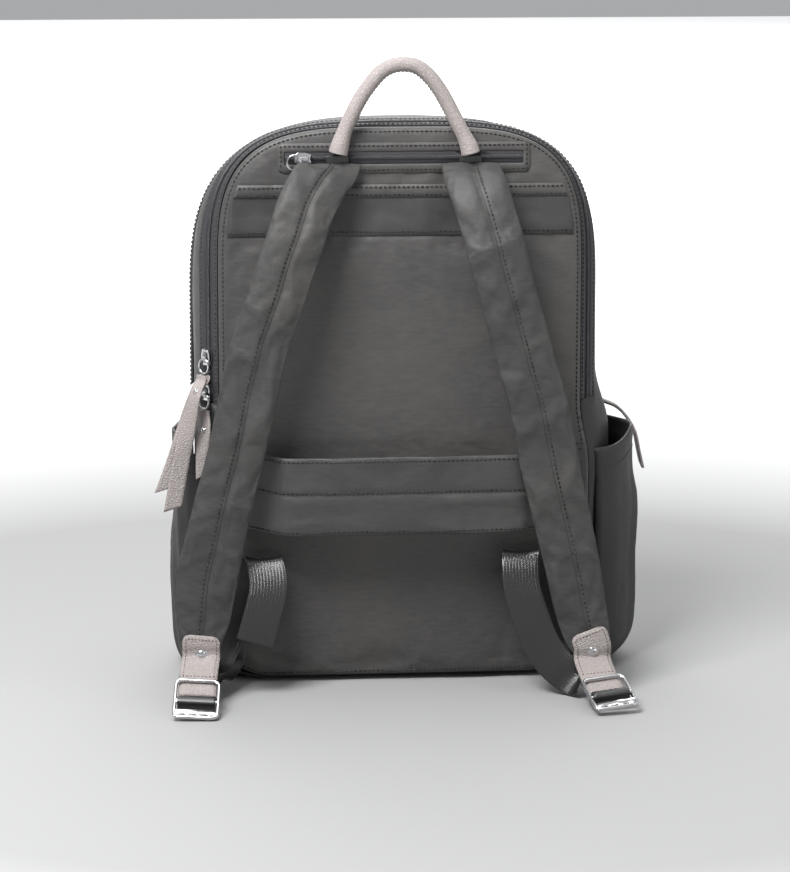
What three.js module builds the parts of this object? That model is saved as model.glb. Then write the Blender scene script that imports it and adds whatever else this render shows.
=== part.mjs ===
// Anti theft backpack that stands on its base, harness side towards -Y.
// Millimetres, +Z up. Left and right are those of a viewer who faces the harness.
// The origin is the centre of the flat base.
import * as THREE from "three";

// Sizes of the bag.
const BODY_WIDTH = 276;
const BODY_HEIGHT = 382;
const BODY_DEPTH = 130;
const SHELL_WALL = 2;
const BASE_CORNER_RADIUS = 34;
const PANEL_THICKNESS = 6;
const PANEL_ROLL = 6.5;
const CLEARANCE = 0.35;

// Main zipper, a U round the harness panel.
const ZIP_END_HEIGHT = 0.503 * BODY_HEIGHT;
const TAPE_WIDTH = 6.2;
const TAPE_THICKNESS = 1.2;
const COIL_WIDTH = 5;
const COIL_THICKNESS = 2;
const ZIP_SLOPE = 0.835;

// Pieces sewn on the harness panel.
const YOKE_BOTTOM = 0.8024 * BODY_HEIGHT;
const YOKE_HEIGHT = 33.5;
const OVERLAY_THICKNESS = 1.2;
const POCKET_ZIP_HEIGHT = 0.9385 * BODY_HEIGHT;
const WELT_WIDTH = 0.5942 * BODY_WIDTH;
const WELT_HEIGHT = 20;
const WELT_WINDOW_WIDTH = WELT_WIDTH - 6;
const WELT_WINDOW_HEIGHT = 11.5;
const POCKET_COIL_WIDTH = 4.6;

// Trolley sleeve, a band that bows away from the panel.
const SLEEVE_HEIGHT = 53;
const SLEEVE_BOTTOM = 0.2866 * BODY_HEIGHT;
const SLEEVE_STAND_OFF = 33.5;
const SLEEVE_THICKNESS = 2.4;
const SLEEVE_FLAT_HALF = 0.279 * BODY_WIDTH;
const SLEEVE_END_INSET = 3.5;

// Shoulder straps.
const STRAP_WIDTH = 39;
const STRAP_THICKNESS = 10;
const STRAP_STAND_OFF = 41.5;

// Leather tabs, buckles and adjusting webbing.
const TAB_WIDTH = 25;
const TAB_THICKNESS = 2.4;
const RIVET_RADIUS = 4;
const RIVET_HEIGHT = 1.6;
const BUCKLE_WIDTH = 31;
const BUCKLE_LENGTH = 32;
const BUCKLE_THICKNESS = 2.6;
const BUCKLE_RIM = 2.6;
const BUCKLE_BAR = 3.2;
const BUCKLE_CORNER = 3.5;
const WEBBING_WIDTH = 25;
const WEBBING_THICKNESS = 1.3;

// Top handle.
const HANDLE_RADIUS = 5.4;
const HANDLE_RISE = 60;
const HANDLE_SPAN = 0.3225 * BODY_WIDTH;
const HANDLE_STAND_OFF = 6.8;
const HANDLE_FOOT_HEIGHT = 0.9476 * BODY_HEIGHT;

// Zipper sliders and pullers.
const SLIDER_LENGTH = 11;
const SLIDER_WIDTH = 8;
const SLIDER_THICKNESS = 3;
const RING_WIRE = 1.5;
const PULLER_WIDTH = 11.5;
const PULLER_THICKNESS = 2.2;
const PULLER_RIVET_RADIUS = 2.1;
const PULLER_RIVET_HEIGHT = 1.2;

// Side pockets and the front of the bag.
const POCKET_LIP_HEIGHT = 0.4346 * BODY_HEIGHT;
const POCKET_WALL = 1.6;
const POCKET_BULGE_RIGHT = 30;
const POCKET_BULGE_LEFT = 14;
const FRONT_PANEL_WIDTH = 0.71 * BODY_WIDTH;
const FRONT_PANEL_HEIGHT = 178;
const FRONT_PANEL_BOTTOM = 30;
const FRONT_PANEL_RISE = 11;
const FRONT_PANEL_EDGE = 3;

const HALF_WIDTH = BODY_WIDTH / 2;
const PANEL_FACE = -BODY_DEPTH / 2;

// Outline of the bag at each depth. Columns: depth as a share of the depth, half width, top, foot and
// shoulder as shares of half width and height, power of the arch, flare below the zipper.
const SECTIONS = [
  { depth: 0.0, width: 0.888, top: 0.992, foot: 0.01, shoulder: 0.715, power: 3.8, flare: 0.052 },
  { depth: 0.048, width: 0.895, top: 0.994, foot: 0.007, shoulder: 0.712, power: 3.7, flare: 0.05 },
  { depth: 0.17, width: 0.97, top: 1.0, foot: 0.0, shoulder: 0.69, power: 3.3, flare: 0.02 },
  { depth: 0.338, width: 1.0, top: 1.0, foot: 0.0, shoulder: 0.668, power: 3.1, flare: 0.0 },
  { depth: 0.6, width: 1.0, top: 0.992, foot: 0.0, shoulder: 0.66, power: 3.0, flare: 0.0 },
  { depth: 0.82, width: 0.982, top: 0.968, foot: 0.0, shoulder: 0.65, power: 3.0, flare: 0.0 },
  { depth: 0.915, width: 0.935, top: 0.94, foot: 0.01, shoulder: 0.65, power: 3.0, flare: 0.0 },
  { depth: 0.965, width: 0.865, top: 0.9, foot: 0.034, shoulder: 0.64, power: 2.9, flare: 0.0 },
  { depth: 0.99, width: 0.7, top: 0.81, foot: 0.11, shoulder: 0.6, power: 2.8, flare: 0.0 },
  { depth: 1.0, width: 0.4, top: 0.64, foot: 0.27, shoulder: 0.5, power: 2.6, flare: 0.0 },
];
const ARCH_STEPS = 24;
const CORNER_STEPS = 3;
const FLARE_DROP = 0.12 * BODY_HEIGHT;
const BASE_POINT_SHARE = 0.3;

const mix = (a, b, t) => a + (b - a) * t;
const clamp01 = (t) => Math.min(1, Math.max(0, t));
const smooth = (t) => clamp01(t) * clamp01(t) * (3 - 2 * clamp01(t));

// Mesh helpers.

// Closed geometry from polygons; faces end up facing out whatever their order.
function geometryOf(polygons) {
  const keys = new Map();
  const points = [];
  const index = [];
  const indexOf = (p) => {
    const key = [p.x, p.y, p.z].map((v) => Math.round(v * 1e4)).join(",");
    if (!keys.has(key)) {
      keys.set(key, points.length);
      points.push(p);
    }
    return keys.get(key);
  };
  let volume = 0;
  for (const polygon of polygons) {
    const ids = polygon.map(indexOf);
    for (let k = 1; k + 1 < ids.length; k += 1) {
      const [a, b, c] = [ids[0], ids[k], ids[k + 1]];
      if (a === b || b === c || a === c) continue;
      index.push(a, b, c);
      volume += points[a].dot(points[b].clone().cross(points[c]));
    }
  }
  if (volume < 0) index.reverse();
  const geometry = new THREE.BufferGeometry();
  geometry.setAttribute(
    "position",
    new THREE.Float32BufferAttribute(points.flatMap((p) => [p.x, p.y, p.z]), 3),
  );
  geometry.setIndex(index);
  geometry.computeVertexNormals();
  return geometry;
}

// Normals of a grid of points, by central differences.
function gridNormals(grid, closed) {
  const rows = grid.length;
  const columns = grid[0].length;
  return grid.map((row, i) =>
    row.map((_, j) => {
      const before = closed ? (j + columns - 1) % columns : Math.max(j - 1, 0);
      const after = closed ? (j + 1) % columns : Math.min(j + 1, columns - 1);
      const along = grid[Math.min(i + 1, rows - 1)][j].clone().sub(grid[Math.max(i - 1, 0)][j]);
      const across = grid[i][after].clone().sub(grid[i][before]);
      return along.cross(across).normalize();
    }),
  );
}

// A sheet of cloth between two grids. keep(i, j) says which cells are cloth.
function sheet(front, back, { closed = false, keep = () => true } = {}) {
  const rows = front.length - 1;
  const columns = closed ? front[0].length : front[0].length - 1;
  const next = (j) => (j + 1) % front[0].length;
  const cloth = (i, j) => {
    if (i < 0 || i >= rows) return false;
    if (!closed && (j < 0 || j >= columns)) return false;
    return keep(i, (j + columns) % columns);
  };
  const polygons = [];
  const wall = (i0, j0, i1, j1) =>
    polygons.push([front[i0][j0], front[i1][j1], back[i1][j1], back[i0][j0]]);
  for (let i = 0; i < rows; i += 1) {
    for (let j = 0; j < columns; j += 1) {
      if (!cloth(i, j)) continue;
      const k = next(j);
      polygons.push([front[i][j], front[i + 1][j], front[i + 1][k], front[i][k]]);
      polygons.push([back[i][j], back[i][k], back[i + 1][k], back[i + 1][j]]);
      if (!cloth(i - 1, j)) wall(i, j, i, k);
      if (!cloth(i + 1, j)) wall(i + 1, k, i + 1, j);
      if (!cloth(i, j - 1)) wall(i + 1, j, i, j);
      if (!cloth(i, j + 1)) wall(i, k, i + 1, k);
    }
  }
  return geometryOf(polygons);
}

const offsetGrid = (grid, normals, distance) =>
  grid.map((row, i) => row.map((p, j) => p.clone().addScaledVector(normals[i][j], distance)));

// Skin through closed rings of equal length, with flat or pointed ends.
function loft(rings) {
  const polygons = [];
  const count = rings[0].length;
  for (let i = 0; i + 1 < rings.length; i += 1) {
    for (let j = 0; j < count; j += 1) {
      const k = (j + 1) % count;
      polygons.push([rings[i][j], rings[i][k], rings[i + 1][k], rings[i + 1][j]]);
    }
  }
  const cap = (ring, turned) => {
    const centre = ring.reduce((sum, p) => sum.add(p), new THREE.Vector3()).divideScalar(count);
    for (let j = 0; j < count; j += 1) {
      const pair = [ring[j], ring[(j + 1) % count]];
      polygons.push([centre, ...(turned ? pair.reverse() : pair)]);
    }
  };
  cap(rings[0], true);
  cap(rings[rings.length - 1], false);
  return geometryOf(polygons);
}

// Rows of numbers passed through smoothly, at count + 1 even steps.
function smoothRows(rows, count) {
  const names = Object.keys(rows[0]);
  const at = (i) => rows[Math.min(Math.max(i, 0), rows.length - 1)];
  return Array.from({ length: count + 1 }, (_, n) => {
    const s = (n / count) * (rows.length - 1);
    const i = Math.min(Math.floor(s), rows.length - 2);
    const t = s - i;
    const value = (name) => {
      const [a, b, c, d] = [at(i - 1)[name], at(i)[name], at(i + 1)[name], at(i + 2)[name]];
      return b + 0.5 * t * (c - a + t * (2 * a - 5 * b + 4 * c - d + t * (3 * (b - c) + d - a)));
    };
    return Object.fromEntries(names.map((name) => [name, value(name)]));
  });
}

// A section carried along points, each with its own width and thickness.
function sweep(stations, section, widthAxis) {
  const rings = stations.map((station, i) => {
    const ahead = stations[Math.min(i + 1, stations.length - 1)].at;
    const behind = stations[Math.max(i - 1, 0)].at;
    const tangent = ahead.clone().sub(behind).normalize();
    const across = (station.across || widthAxis).clone();
    if (!station.fixed) across.addScaledVector(tangent, -across.dot(tangent));
    across.normalize();
    const out = tangent.clone().cross(across).normalize();
    return section.map(([u, v]) =>
      station.at
        .clone()
        .addScaledVector(across, u * station.width)
        .addScaledVector(out, v * station.thickness),
    );
  });
  return loft(rings);
}

const roundSection = (sides) =>
  Array.from({ length: sides }, (_, k) => {
    const angle = (2 * Math.PI * (k + 0.5)) / sides;
    return [0.5 * Math.cos(angle), 0.5 * Math.sin(angle)];
  });
const BAND_SECTION = [[-0.5, -0.5], [0.5, -0.5], [0.5, 0.5], [-0.5, 0.5]];
const PAD_SECTION = [
  [-0.5, -0.12], [-0.44, -0.38], [-0.3, -0.5], [0.3, -0.5], [0.44, -0.38], [0.5, -0.12],
  [0.5, 0.12], [0.44, 0.38], [0.3, 0.5], [-0.3, 0.5], [-0.44, 0.38], [-0.5, 0.12],
];
const X_AXIS = new THREE.Vector3(1, 0, 0);

// A flat plate cut from a shape in X and Z, its back at y, thick towards -Y.
function facePlate(shape, y, thickness, options = {}) {
  const geometry = new THREE.ExtrudeGeometry(shape, {
    depth: thickness,
    bevelEnabled: false,
    curveSegments: 5,
    ...options,
  });
  geometry.rotateX(Math.PI / 2);
  geometry.translate(0, y, 0);
  return geometry;
}

function rectangle(x0, z0, x1, z1, path = new THREE.Shape()) {
  path.moveTo(x0, z0);
  path.lineTo(x1, z0);
  path.lineTo(x1, z1);
  path.lineTo(x0, z1);
  path.closePath();
  return path;
}

function roundedRectangle(x0, y0, x1, y1, r) {
  const shape = new THREE.Shape();
  shape.moveTo(x0 + r, y0);
  shape.lineTo(x1 - r, y0);
  shape.absarc(x1 - r, y0 + r, r, -Math.PI / 2, 0);
  shape.lineTo(x1, y1 - r);
  shape.absarc(x1 - r, y1 - r, r, 0, Math.PI / 2);
  shape.lineTo(x0 + r, y1);
  shape.absarc(x0 + r, y1 - r, r, Math.PI / 2, Math.PI);
  shape.lineTo(x0, y0 + r);
  shape.absarc(x0 + r, y0 + r, r, Math.PI, 1.5 * Math.PI);
  return shape;
}

// Outline of the bag.

function sectionAt(depth) {
  const share = clamp01(depth / BODY_DEPTH);
  let i = 0;
  while (i < SECTIONS.length - 2 && SECTIONS[i + 1].depth < share) i += 1;
  const [a, b] = [SECTIONS[i], SECTIONS[i + 1]];
  const t = (share - a.depth) / (b.depth - a.depth);
  const value = (name) => mix(a[name], b[name], t);
  return {
    half: HALF_WIDTH * value("width"),
    top: BODY_HEIGHT * value("top"),
    foot: BODY_HEIGHT * value("foot"),
    shoulder: BODY_HEIGHT * value("shoulder"),
    power: value("power"),
    flare: value("flare"),
  };
}

// Half width of the bag at a depth and a height, corners and arch included.
function halfWidthAt(depth, z, inset = 0) {
  const s = sectionAt(depth);
  const flare = 1 + s.flare * smooth((ZIP_END_HEIGHT - z) / FLARE_DROP);
  const half = s.half * flare - inset;
  const foot = s.foot + inset;
  if (z > s.shoulder) {
    const share = clamp01((z - s.shoulder) / (s.top - inset - s.shoulder));
    return half * Math.pow(1 - Math.pow(share, s.power), 1 / s.power);
  }
  const below = foot + BASE_CORNER_RADIUS - z;
  if (below <= 0) return half;
  const drop = Math.min(below, BASE_CORNER_RADIUS);
  return half - BASE_CORNER_RADIUS + Math.sqrt(BASE_CORNER_RADIUS ** 2 - drop ** 2);
}

const ZIP_COLUMN_RIGHT = 2 + CORNER_STEPS + 1 + 1;
const ZIP_COLUMN_LEFT = ZIP_COLUMN_RIGHT + ARCH_STEPS + 4;

// One closed ring round the bag at a depth: base, right side, arch, left side.
function ringAt(depth, { inset = 0, zipEnd = ZIP_END_HEIGHT } = {}) {
  const s = sectionAt(depth);
  const y = PANEL_FACE + depth;
  const foot = s.foot + inset;
  const top = s.top - inset;
  const cornerTop = Math.min(foot + BASE_CORNER_RADIUS, mix(foot, s.shoulder, 0.4));
  const rightPoints = [];
  const radius = cornerTop - foot;
  const cornerHalf = halfWidthAt(depth, cornerTop, inset);
  for (let k = 0; k <= CORNER_STEPS; k += 1) {
    const angle = (k / CORNER_STEPS) * (Math.PI / 2);
    rightPoints.push([
      cornerHalf - radius + radius * Math.sin(angle),
      foot + radius - radius * Math.cos(angle),
    ]);
  }
  const zip = Math.min(zipEnd, mix(cornerTop, s.shoulder, 0.75));
  for (const z of [mix(cornerTop, zip, 0.5), zip, mix(zip, s.shoulder, 0.5)]) {
    rightPoints.push([halfWidthAt(depth, z, inset), z]);
  }
  const arch = Array.from({ length: ARCH_STEPS + 1 }, (_, k) => {
    const angle = (k / ARCH_STEPS) * Math.PI;
    const reach = (v) => Math.sign(v) * Math.pow(Math.abs(v), 2 / s.power);
    const x = (s.half - inset) * reach(Math.cos(angle));
    return [x, s.shoulder + (top - s.shoulder) * reach(Math.sin(angle))];
  });
  const baseHalf = BASE_POINT_SHARE * (s.half - inset);
  const ring = [
    [-baseHalf, foot],
    [baseHalf, foot],
    ...rightPoints,
    ...arch,
    ...rightPoints.map(([x, z]) => [-x, z]).reverse(),
  ];
  return ring.map(([x, z]) => new THREE.Vector3(x, y, z));
}

// Zipper bands lie side by side from the panel edge into the gusset.
const ZIP_START = PANEL_THICKNESS + CLEARANCE;
const INNER_TAPE_END = ZIP_START + TAPE_WIDTH * ZIP_SLOPE;
const COIL_START = INNER_TAPE_END + CLEARANCE;
const COIL_END = COIL_START + COIL_WIDTH * ZIP_SLOPE;
const OUTER_TAPE_START = COIL_END + CLEARANCE;
const OUTER_TAPE_END = OUTER_TAPE_START + TAPE_WIDTH * ZIP_SLOPE;
const ZIP_FINISH = OUTER_TAPE_END + CLEARANCE;

function zipperBand(start, end, thickness, raise = 0) {
  const options = { zipEnd: ZIP_END_HEIGHT + CLEARANCE };
  const rows = [start, end].map((depth) =>
    ringAt(depth, options).slice(ZIP_COLUMN_RIGHT, ZIP_COLUMN_LEFT + 1),
  );
  const normals = gridNormals(rows, false);
  return sheet(offsetGrid(rows, normals, raise), offsetGrid(rows, normals, raise - thickness));
}

const SHELL_DEPTH_SHARES = [0.338, 0.47, 0.6, 0.72, 0.82, 0.915, 0.965, 0.99, 1.0];

function frontShell() {
  const depths = [ZIP_START, ZIP_FINISH, ...SHELL_DEPTH_SHARES.map((share) => share * BODY_DEPTH)];
  const rows = depths.map((depth) => ringAt(depth));
  const last = rows[rows.length - 1];
  const middle = last.reduce((sum, p) => sum.add(p), new THREE.Vector3()).divideScalar(last.length);
  rows.push(last.map(() => middle.clone()));
  const normals = gridNormals(rows, true);
  const front = new THREE.Vector3(0, 1, 0);
  normals[normals.length - 1] = last.map(() => front);
  const zipped = (j) => j >= ZIP_COLUMN_RIGHT && j < ZIP_COLUMN_LEFT;
  return sheet(rows, offsetGrid(rows, normals, -SHELL_WALL), {
    closed: true,
    keep: (i, j) => i > 0 || !zipped(j),
  });
}

// The panel's rolled edge. Columns: depth as a share of its thickness, inset as a share of its roll.
function harnessPanel() {
  const edge = [
    { depth: 1.0, inset: 0.25 },
    { depth: 0.72, inset: 0.15 },
    { depth: 0.32, inset: 0.18 },
    { depth: 0.09, inset: 0.43 },
    { depth: 0.0, inset: 1.0 },
  ];
  return loft(
    edge.map((row) => ringAt(row.depth * PANEL_THICKNESS, { inset: row.inset * PANEL_ROLL })),
  );
}

// Outline between two heights, following the panel's edge.
function panelStripShape(bottom, height, inset, steps = 6) {
  const right = Array.from({ length: steps + 1 }, (_, k) => {
    const z = bottom + (height * k) / steps;
    return new THREE.Vector2(halfWidthAt(0, z, inset), z);
  });
  const left = right.map((p) => new THREE.Vector2(-p.x, p.y)).reverse();
  return new THREE.Shape([...right, ...left]);
}

const OVERLAY_BACK = PANEL_FACE - CLEARANCE;

function yokeBand() {
  return facePlate(panelStripShape(YOKE_BOTTOM, YOKE_HEIGHT, PANEL_ROLL), OVERLAY_BACK, OVERLAY_THICKNESS);
}

function pocketWelt() {
  const shape = rectangle(
    -WELT_WIDTH / 2,
    POCKET_ZIP_HEIGHT - WELT_HEIGHT / 2,
    WELT_WIDTH / 2,
    POCKET_ZIP_HEIGHT + WELT_HEIGHT / 2,
  );
  shape.holes.push(
    rectangle(
      -WELT_WINDOW_WIDTH / 2,
      POCKET_ZIP_HEIGHT - WELT_WINDOW_HEIGHT / 2,
      WELT_WINDOW_WIDTH / 2,
      POCKET_ZIP_HEIGHT + WELT_WINDOW_HEIGHT / 2,
      new THREE.Path(),
    ),
  );
  return facePlate(shape, OVERLAY_BACK, OVERLAY_THICKNESS);
}

function pocketCoil() {
  const half = WELT_WINDOW_WIDTH / 2 - CLEARANCE;
  const shape = rectangle(
    -half,
    POCKET_ZIP_HEIGHT - POCKET_COIL_WIDTH / 2,
    half,
    POCKET_ZIP_HEIGHT + POCKET_COIL_WIDTH / 2,
  );
  return facePlate(shape, OVERLAY_BACK, OVERLAY_THICKNESS);
}

// The sleeve's line seen from above. Columns: x as a share of the half width beyond the flat
// middle, out as a share of its stand-off.
const SLEEVE_LINE = [
  { x: 1.0, out: 0.0 },
  { x: 0.84, out: 0.0 },
  { x: 0.66, out: 0.1 },
  { x: 0.4, out: 0.5 },
  { x: 0.18, out: 0.86 },
  { x: 0.0, out: 1.0 },
];

function trolleySleeve() {
  const end = halfWidthAt(0, SLEEVE_BOTTOM + SLEEVE_HEIGHT / 2, SLEEVE_END_INSET);
  const back = PANEL_FACE - CLEARANCE - SLEEVE_THICKNESS;
  const right = SLEEVE_LINE.map((row) => [
    mix(SLEEVE_FLAT_HALF, end, row.x),
    back - row.out * SLEEVE_STAND_OFF,
  ]);
  const middle = [[0.45, 1.02], [0, 1.03]].map(([x, out]) => [
    x * SLEEVE_FLAT_HALF,
    back - out * SLEEVE_STAND_OFF,
  ]);
  const half = [...right, ...middle];
  const line = [...half, ...half.slice(0, -1).reverse().map(([x, y]) => [-x, y])];
  const heights = [0, 0.5, 1].map((share) => SLEEVE_BOTTOM + share * SLEEVE_HEIGHT);
  const rows = heights.map((z) => line.map(([x, y]) => new THREE.Vector3(x, y, z)));
  const normals = gridNormals(rows, false);
  const side = normals[1][half.length - 1].y < 0 ? -1 : 1;
  return sheet(rows, offsetGrid(rows, normals, side * SLEEVE_THICKNESS));
}

// Shoulder straps. Columns: x as a share of the half width, out as a share of the stand-off,
// z as a share of the height, width and thickness as shares of the strap's.
const STRAP_LEFT = [
  { x: -0.329, out: 0.115, z: 0.9265, width: 0.97, thickness: 0.4 },
  { x: -0.352, out: 0.235, z: 0.9165, width: 0.99, thickness: 0.7 },
  { x: -0.403, out: 0.46, z: 0.9025, width: 1.0, thickness: 0.96 },
  { x: -0.472, out: 0.75, z: 0.8635, width: 0.99, thickness: 1.0 },
  { x: -0.52, out: 0.91, z: 0.8155, width: 0.98, thickness: 1.0 },
  { x: -0.567, out: 0.975, z: 0.77, width: 0.97, thickness: 1.0 },
  { x: -0.621, out: 1.0, z: 0.707, width: 0.96, thickness: 1.0 },
  { x: -0.691, out: 1.0, z: 0.6375, width: 0.97, thickness: 1.0 },
  { x: -0.741, out: 1.0, z: 0.568, width: 0.98, thickness: 1.0 },
  { x: -0.783, out: 1.0, z: 0.4975, width: 0.98, thickness: 1.0 },
  { x: -0.826, out: 1.0, z: 0.4265, width: 0.97, thickness: 1.0 },
  { x: -0.878, out: 1.0, z: 0.356, width: 0.98, thickness: 1.0 },
  { x: -0.923, out: 0.985, z: 0.284, width: 1.02, thickness: 1.0 },
  { x: -0.968, out: 0.97, z: 0.2095, width: 1.05, thickness: 1.0 },
  { x: -0.984, out: 0.99, z: 0.152, width: 0.95, thickness: 0.92 },
  { x: -0.994, out: 1.04, z: 0.1165, width: 0.78, thickness: 0.66 },
  { x: -0.998, out: 1.075, z: 0.101, width: 0.68, thickness: 0.4 },
];
const STRAP_RIGHT = [
  { x: 0.333, out: 0.115, z: 0.9265, width: 1.0, thickness: 0.4 },
  { x: 0.337, out: 0.235, z: 0.9165, width: 1.01, thickness: 0.7 },
  { x: 0.345, out: 0.46, z: 0.9025, width: 1.02, thickness: 0.96 },
  { x: 0.37, out: 0.73, z: 0.8715, width: 1.0, thickness: 1.0 },
  { x: 0.42, out: 0.91, z: 0.805, width: 1.0, thickness: 1.0 },
  { x: 0.441, out: 0.975, z: 0.771, width: 0.99, thickness: 1.0 },
  { x: 0.48, out: 1.0, z: 0.7185, width: 0.97, thickness: 1.0 },
  { x: 0.534, out: 1.0, z: 0.648, width: 0.98, thickness: 1.0 },
  { x: 0.586, out: 1.0, z: 0.5775, width: 0.98, thickness: 1.0 },
  { x: 0.63, out: 1.0, z: 0.5235, width: 1.0, thickness: 1.0 },
  { x: 0.672, out: 1.0, z: 0.453, width: 1.0, thickness: 1.0 },
  { x: 0.712, out: 1.0, z: 0.381, width: 0.99, thickness: 1.0 },
  { x: 0.761, out: 1.0, z: 0.3075, width: 0.98, thickness: 1.0 },
  { x: 0.807, out: 1.01, z: 0.233, width: 0.95, thickness: 1.0 },
  { x: 0.845, out: 1.04, z: 0.162, width: 0.9, thickness: 0.98 },
  { x: 0.877, out: 1.1, z: 0.1125, width: 0.82, thickness: 0.7 },
  { x: 0.902, out: 1.16, z: 0.0855, width: 0.68, thickness: 0.4 },
];
const STRAP_STEPS = 32;
const STRAP_ROOT_STEPS = 7;

const strapPoint = (row) =>
  new THREE.Vector3(
    row.x * HALF_WIDTH,
    PANEL_FACE - row.out * STRAP_STAND_OFF,
    row.z * BODY_HEIGHT,
  );

// The strap's width stays parallel to the panel. Its root is cut level, so it starts along X.
function shoulderStrap(rows) {
  const steps = smoothRows(rows, STRAP_STEPS);
  const points = steps.map(strapPoint);
  const stations = steps.map((row, i) => {
    const ahead = points[Math.min(i + 1, points.length - 1)];
    const run = ahead.clone().sub(points[Math.max(i - 1, 0)]);
    const level = new THREE.Vector3(-run.z, 0, run.x).normalize();
    return {
      at: points[i],
      across: X_AXIS.clone().lerp(level, smooth(i / STRAP_ROOT_STEPS)),
      fixed: true,
      width: row.width * STRAP_WIDTH,
      thickness: row.thickness * STRAP_THICKNESS,
    };
  });
  return sweep(stations, PAD_SECTION, X_AXIS);
}

// Buckle frames rest in front of the bag. The frame's own axes are across (X), back along its
// length (Y) and out of its face (Z), with the origin at its upper edge. x, out and z are shares
// as for the straps, pitch and turn are in radians.
const BUCKLES = {
  left: { x: -1.018, out: 1.6506, z: 0.05288, pitch: 0.59, turn: -0.09 },
  right: { x: 0.925, out: 1.8072, z: 0.04607, pitch: 0.4, turn: 0.2 },
};

function buckleFrame({ pitch, turn, ...place }) {
  const along = new THREE.Vector3(
    Math.sin(turn),
    -Math.cos(turn) * Math.cos(pitch),
    -Math.cos(turn) * Math.sin(pitch),
  );
  const normal = new THREE.Vector3(0, -Math.sin(pitch), Math.cos(pitch));
  const back = along.clone().negate();
  const across = back.clone().cross(normal).normalize();
  const matrix = new THREE.Matrix4().makeBasis(across, back, normal);
  return matrix.setPosition(strapPoint(place));
}

// Point of a buckle's frame: a along it from the upper edge, c out of its face.
const inFrame = (matrix, a, b, c) => new THREE.Vector3(b, -a, c).applyMatrix4(matrix);

// Places of the openings along the frame, from its upper edge.
const LEATHER_WINDOW = { from: 0.1 * BUCKLE_LENGTH, to: 0.36 * BUCKLE_LENGTH };
const BAR_CENTRE = 0.56 * BUCKLE_LENGTH;
const PLY_SPACING = 1.7 * WEBBING_THICKNESS;
const SLOT = 2 * CLEARANCE + PLY_SPACING;
const UPPER_SLOT = { from: BAR_CENTRE - BUCKLE_BAR / 2 - SLOT, to: BAR_CENTRE - BUCKLE_BAR / 2 };
const LOWER_SLOT = { from: BAR_CENTRE + BUCKLE_BAR / 2, to: BAR_CENTRE + BUCKLE_BAR / 2 + SLOT };

function buckleGeometry() {
  const half = BUCKLE_WIDTH / 2;
  const shape = roundedRectangle(-half, -BUCKLE_LENGTH, half, 0, BUCKLE_CORNER);
  for (const slot of [LEATHER_WINDOW, UPPER_SLOT, LOWER_SLOT]) {
    const inner = half - BUCKLE_RIM;
    shape.holes.push(rectangle(-inner, -slot.to, inner, -slot.from, new THREE.Path()));
  }
  const geometry = new THREE.ExtrudeGeometry(shape, {
    depth: BUCKLE_THICKNESS,
    bevelEnabled: false,
    curveSegments: 3,
  });
  geometry.translate(0, 0, -BUCKLE_THICKNESS / 2);
  return geometry;
}

const TAB_SEAT_RISE = 1.5;
const TAB_OVERHANG = 7;
const TAB_RIVET_SHARE = 0.27;
const TAB_DROP = BUCKLE_THICKNESS / 2 + CLEARANCE + TAB_THICKNESS / 2;

// Where the tab passes under the buckle. Columns: along as a share of the buckle's length, drop as
// a share of the tab's.
const TAB_APPROACH = [
  { along: -0.281, drop: 0.79 },
  { along: -0.094, drop: 1.0 },
  { along: 0.329, drop: 1.0 },
];

// The tab starts on the front of the strap's end and finishes behind the buckle's upper bar.
function leatherTab(strapRows, frame, lift) {
  const end = strapRows[strapRows.length - 1];
  const upper = strapRows[strapRows.length - 2];
  const seat = (row, up) => {
    const front = (row.thickness * STRAP_THICKNESS) / 2 + lift;
    return strapPoint(row).add(new THREE.Vector3(0, -front, up));
  };
  const points = [
    seat(upper, TAB_SEAT_RISE),
    seat(end, TAB_SEAT_RISE),
    seat(end, -TAB_OVERHANG),
    ...TAB_APPROACH.map((row) =>
      inFrame(frame, row.along * BUCKLE_LENGTH, 0, -row.drop * TAB_DROP),
    ),
  ];
  const rows = points.map((p) => ({ x: p.x, y: p.y, z: p.z }));
  const across = new THREE.Vector3().setFromMatrixColumn(frame, 0);
  const stations = smoothRows(rows, 3 * (rows.length - 1)).map((row, i, all) => ({
    at: new THREE.Vector3(row.x, row.y, row.z),
    across: X_AXIS.clone().lerp(across, i / (all.length - 1)),
    width: TAB_WIDTH,
    thickness: TAB_THICKNESS,
  }));
  return { geometry: sweep(stations, BAND_SECTION, X_AXIS), stations };
}

function rivetOn(stations, share, thickness, radius, height) {
  const index = Math.round(share * (stations.length - 1));
  const station = stations[index];
  const tangent = stations[index + 1].at.clone().sub(stations[index - 1].at).normalize();
  const across = (station.across || X_AXIS).clone();
  across.addScaledVector(tangent, -across.dot(tangent)).normalize();
  const out = tangent.clone().cross(across);
  if (out.y > 0) out.negate();
  const profile = [
    [0, 0],
    [radius, 0],
    [radius, 0.35 * height],
    [0.8 * radius, 0.85 * height],
    [0, height],
  ].map(([r, y]) => new THREE.Vector2(r, y));
  const geometry = new THREE.LatheGeometry(profile, 12);
  const turn = new THREE.Quaternion().setFromUnitVectors(new THREE.Vector3(0, 1, 0), out);
  geometry.applyQuaternion(turn);
  const seat = station.at.clone().addScaledVector(out, thickness / 2 + 1.5 * CLEARANCE);
  geometry.translate(seat.x, seat.y, seat.z);
  return geometry;
}

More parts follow.
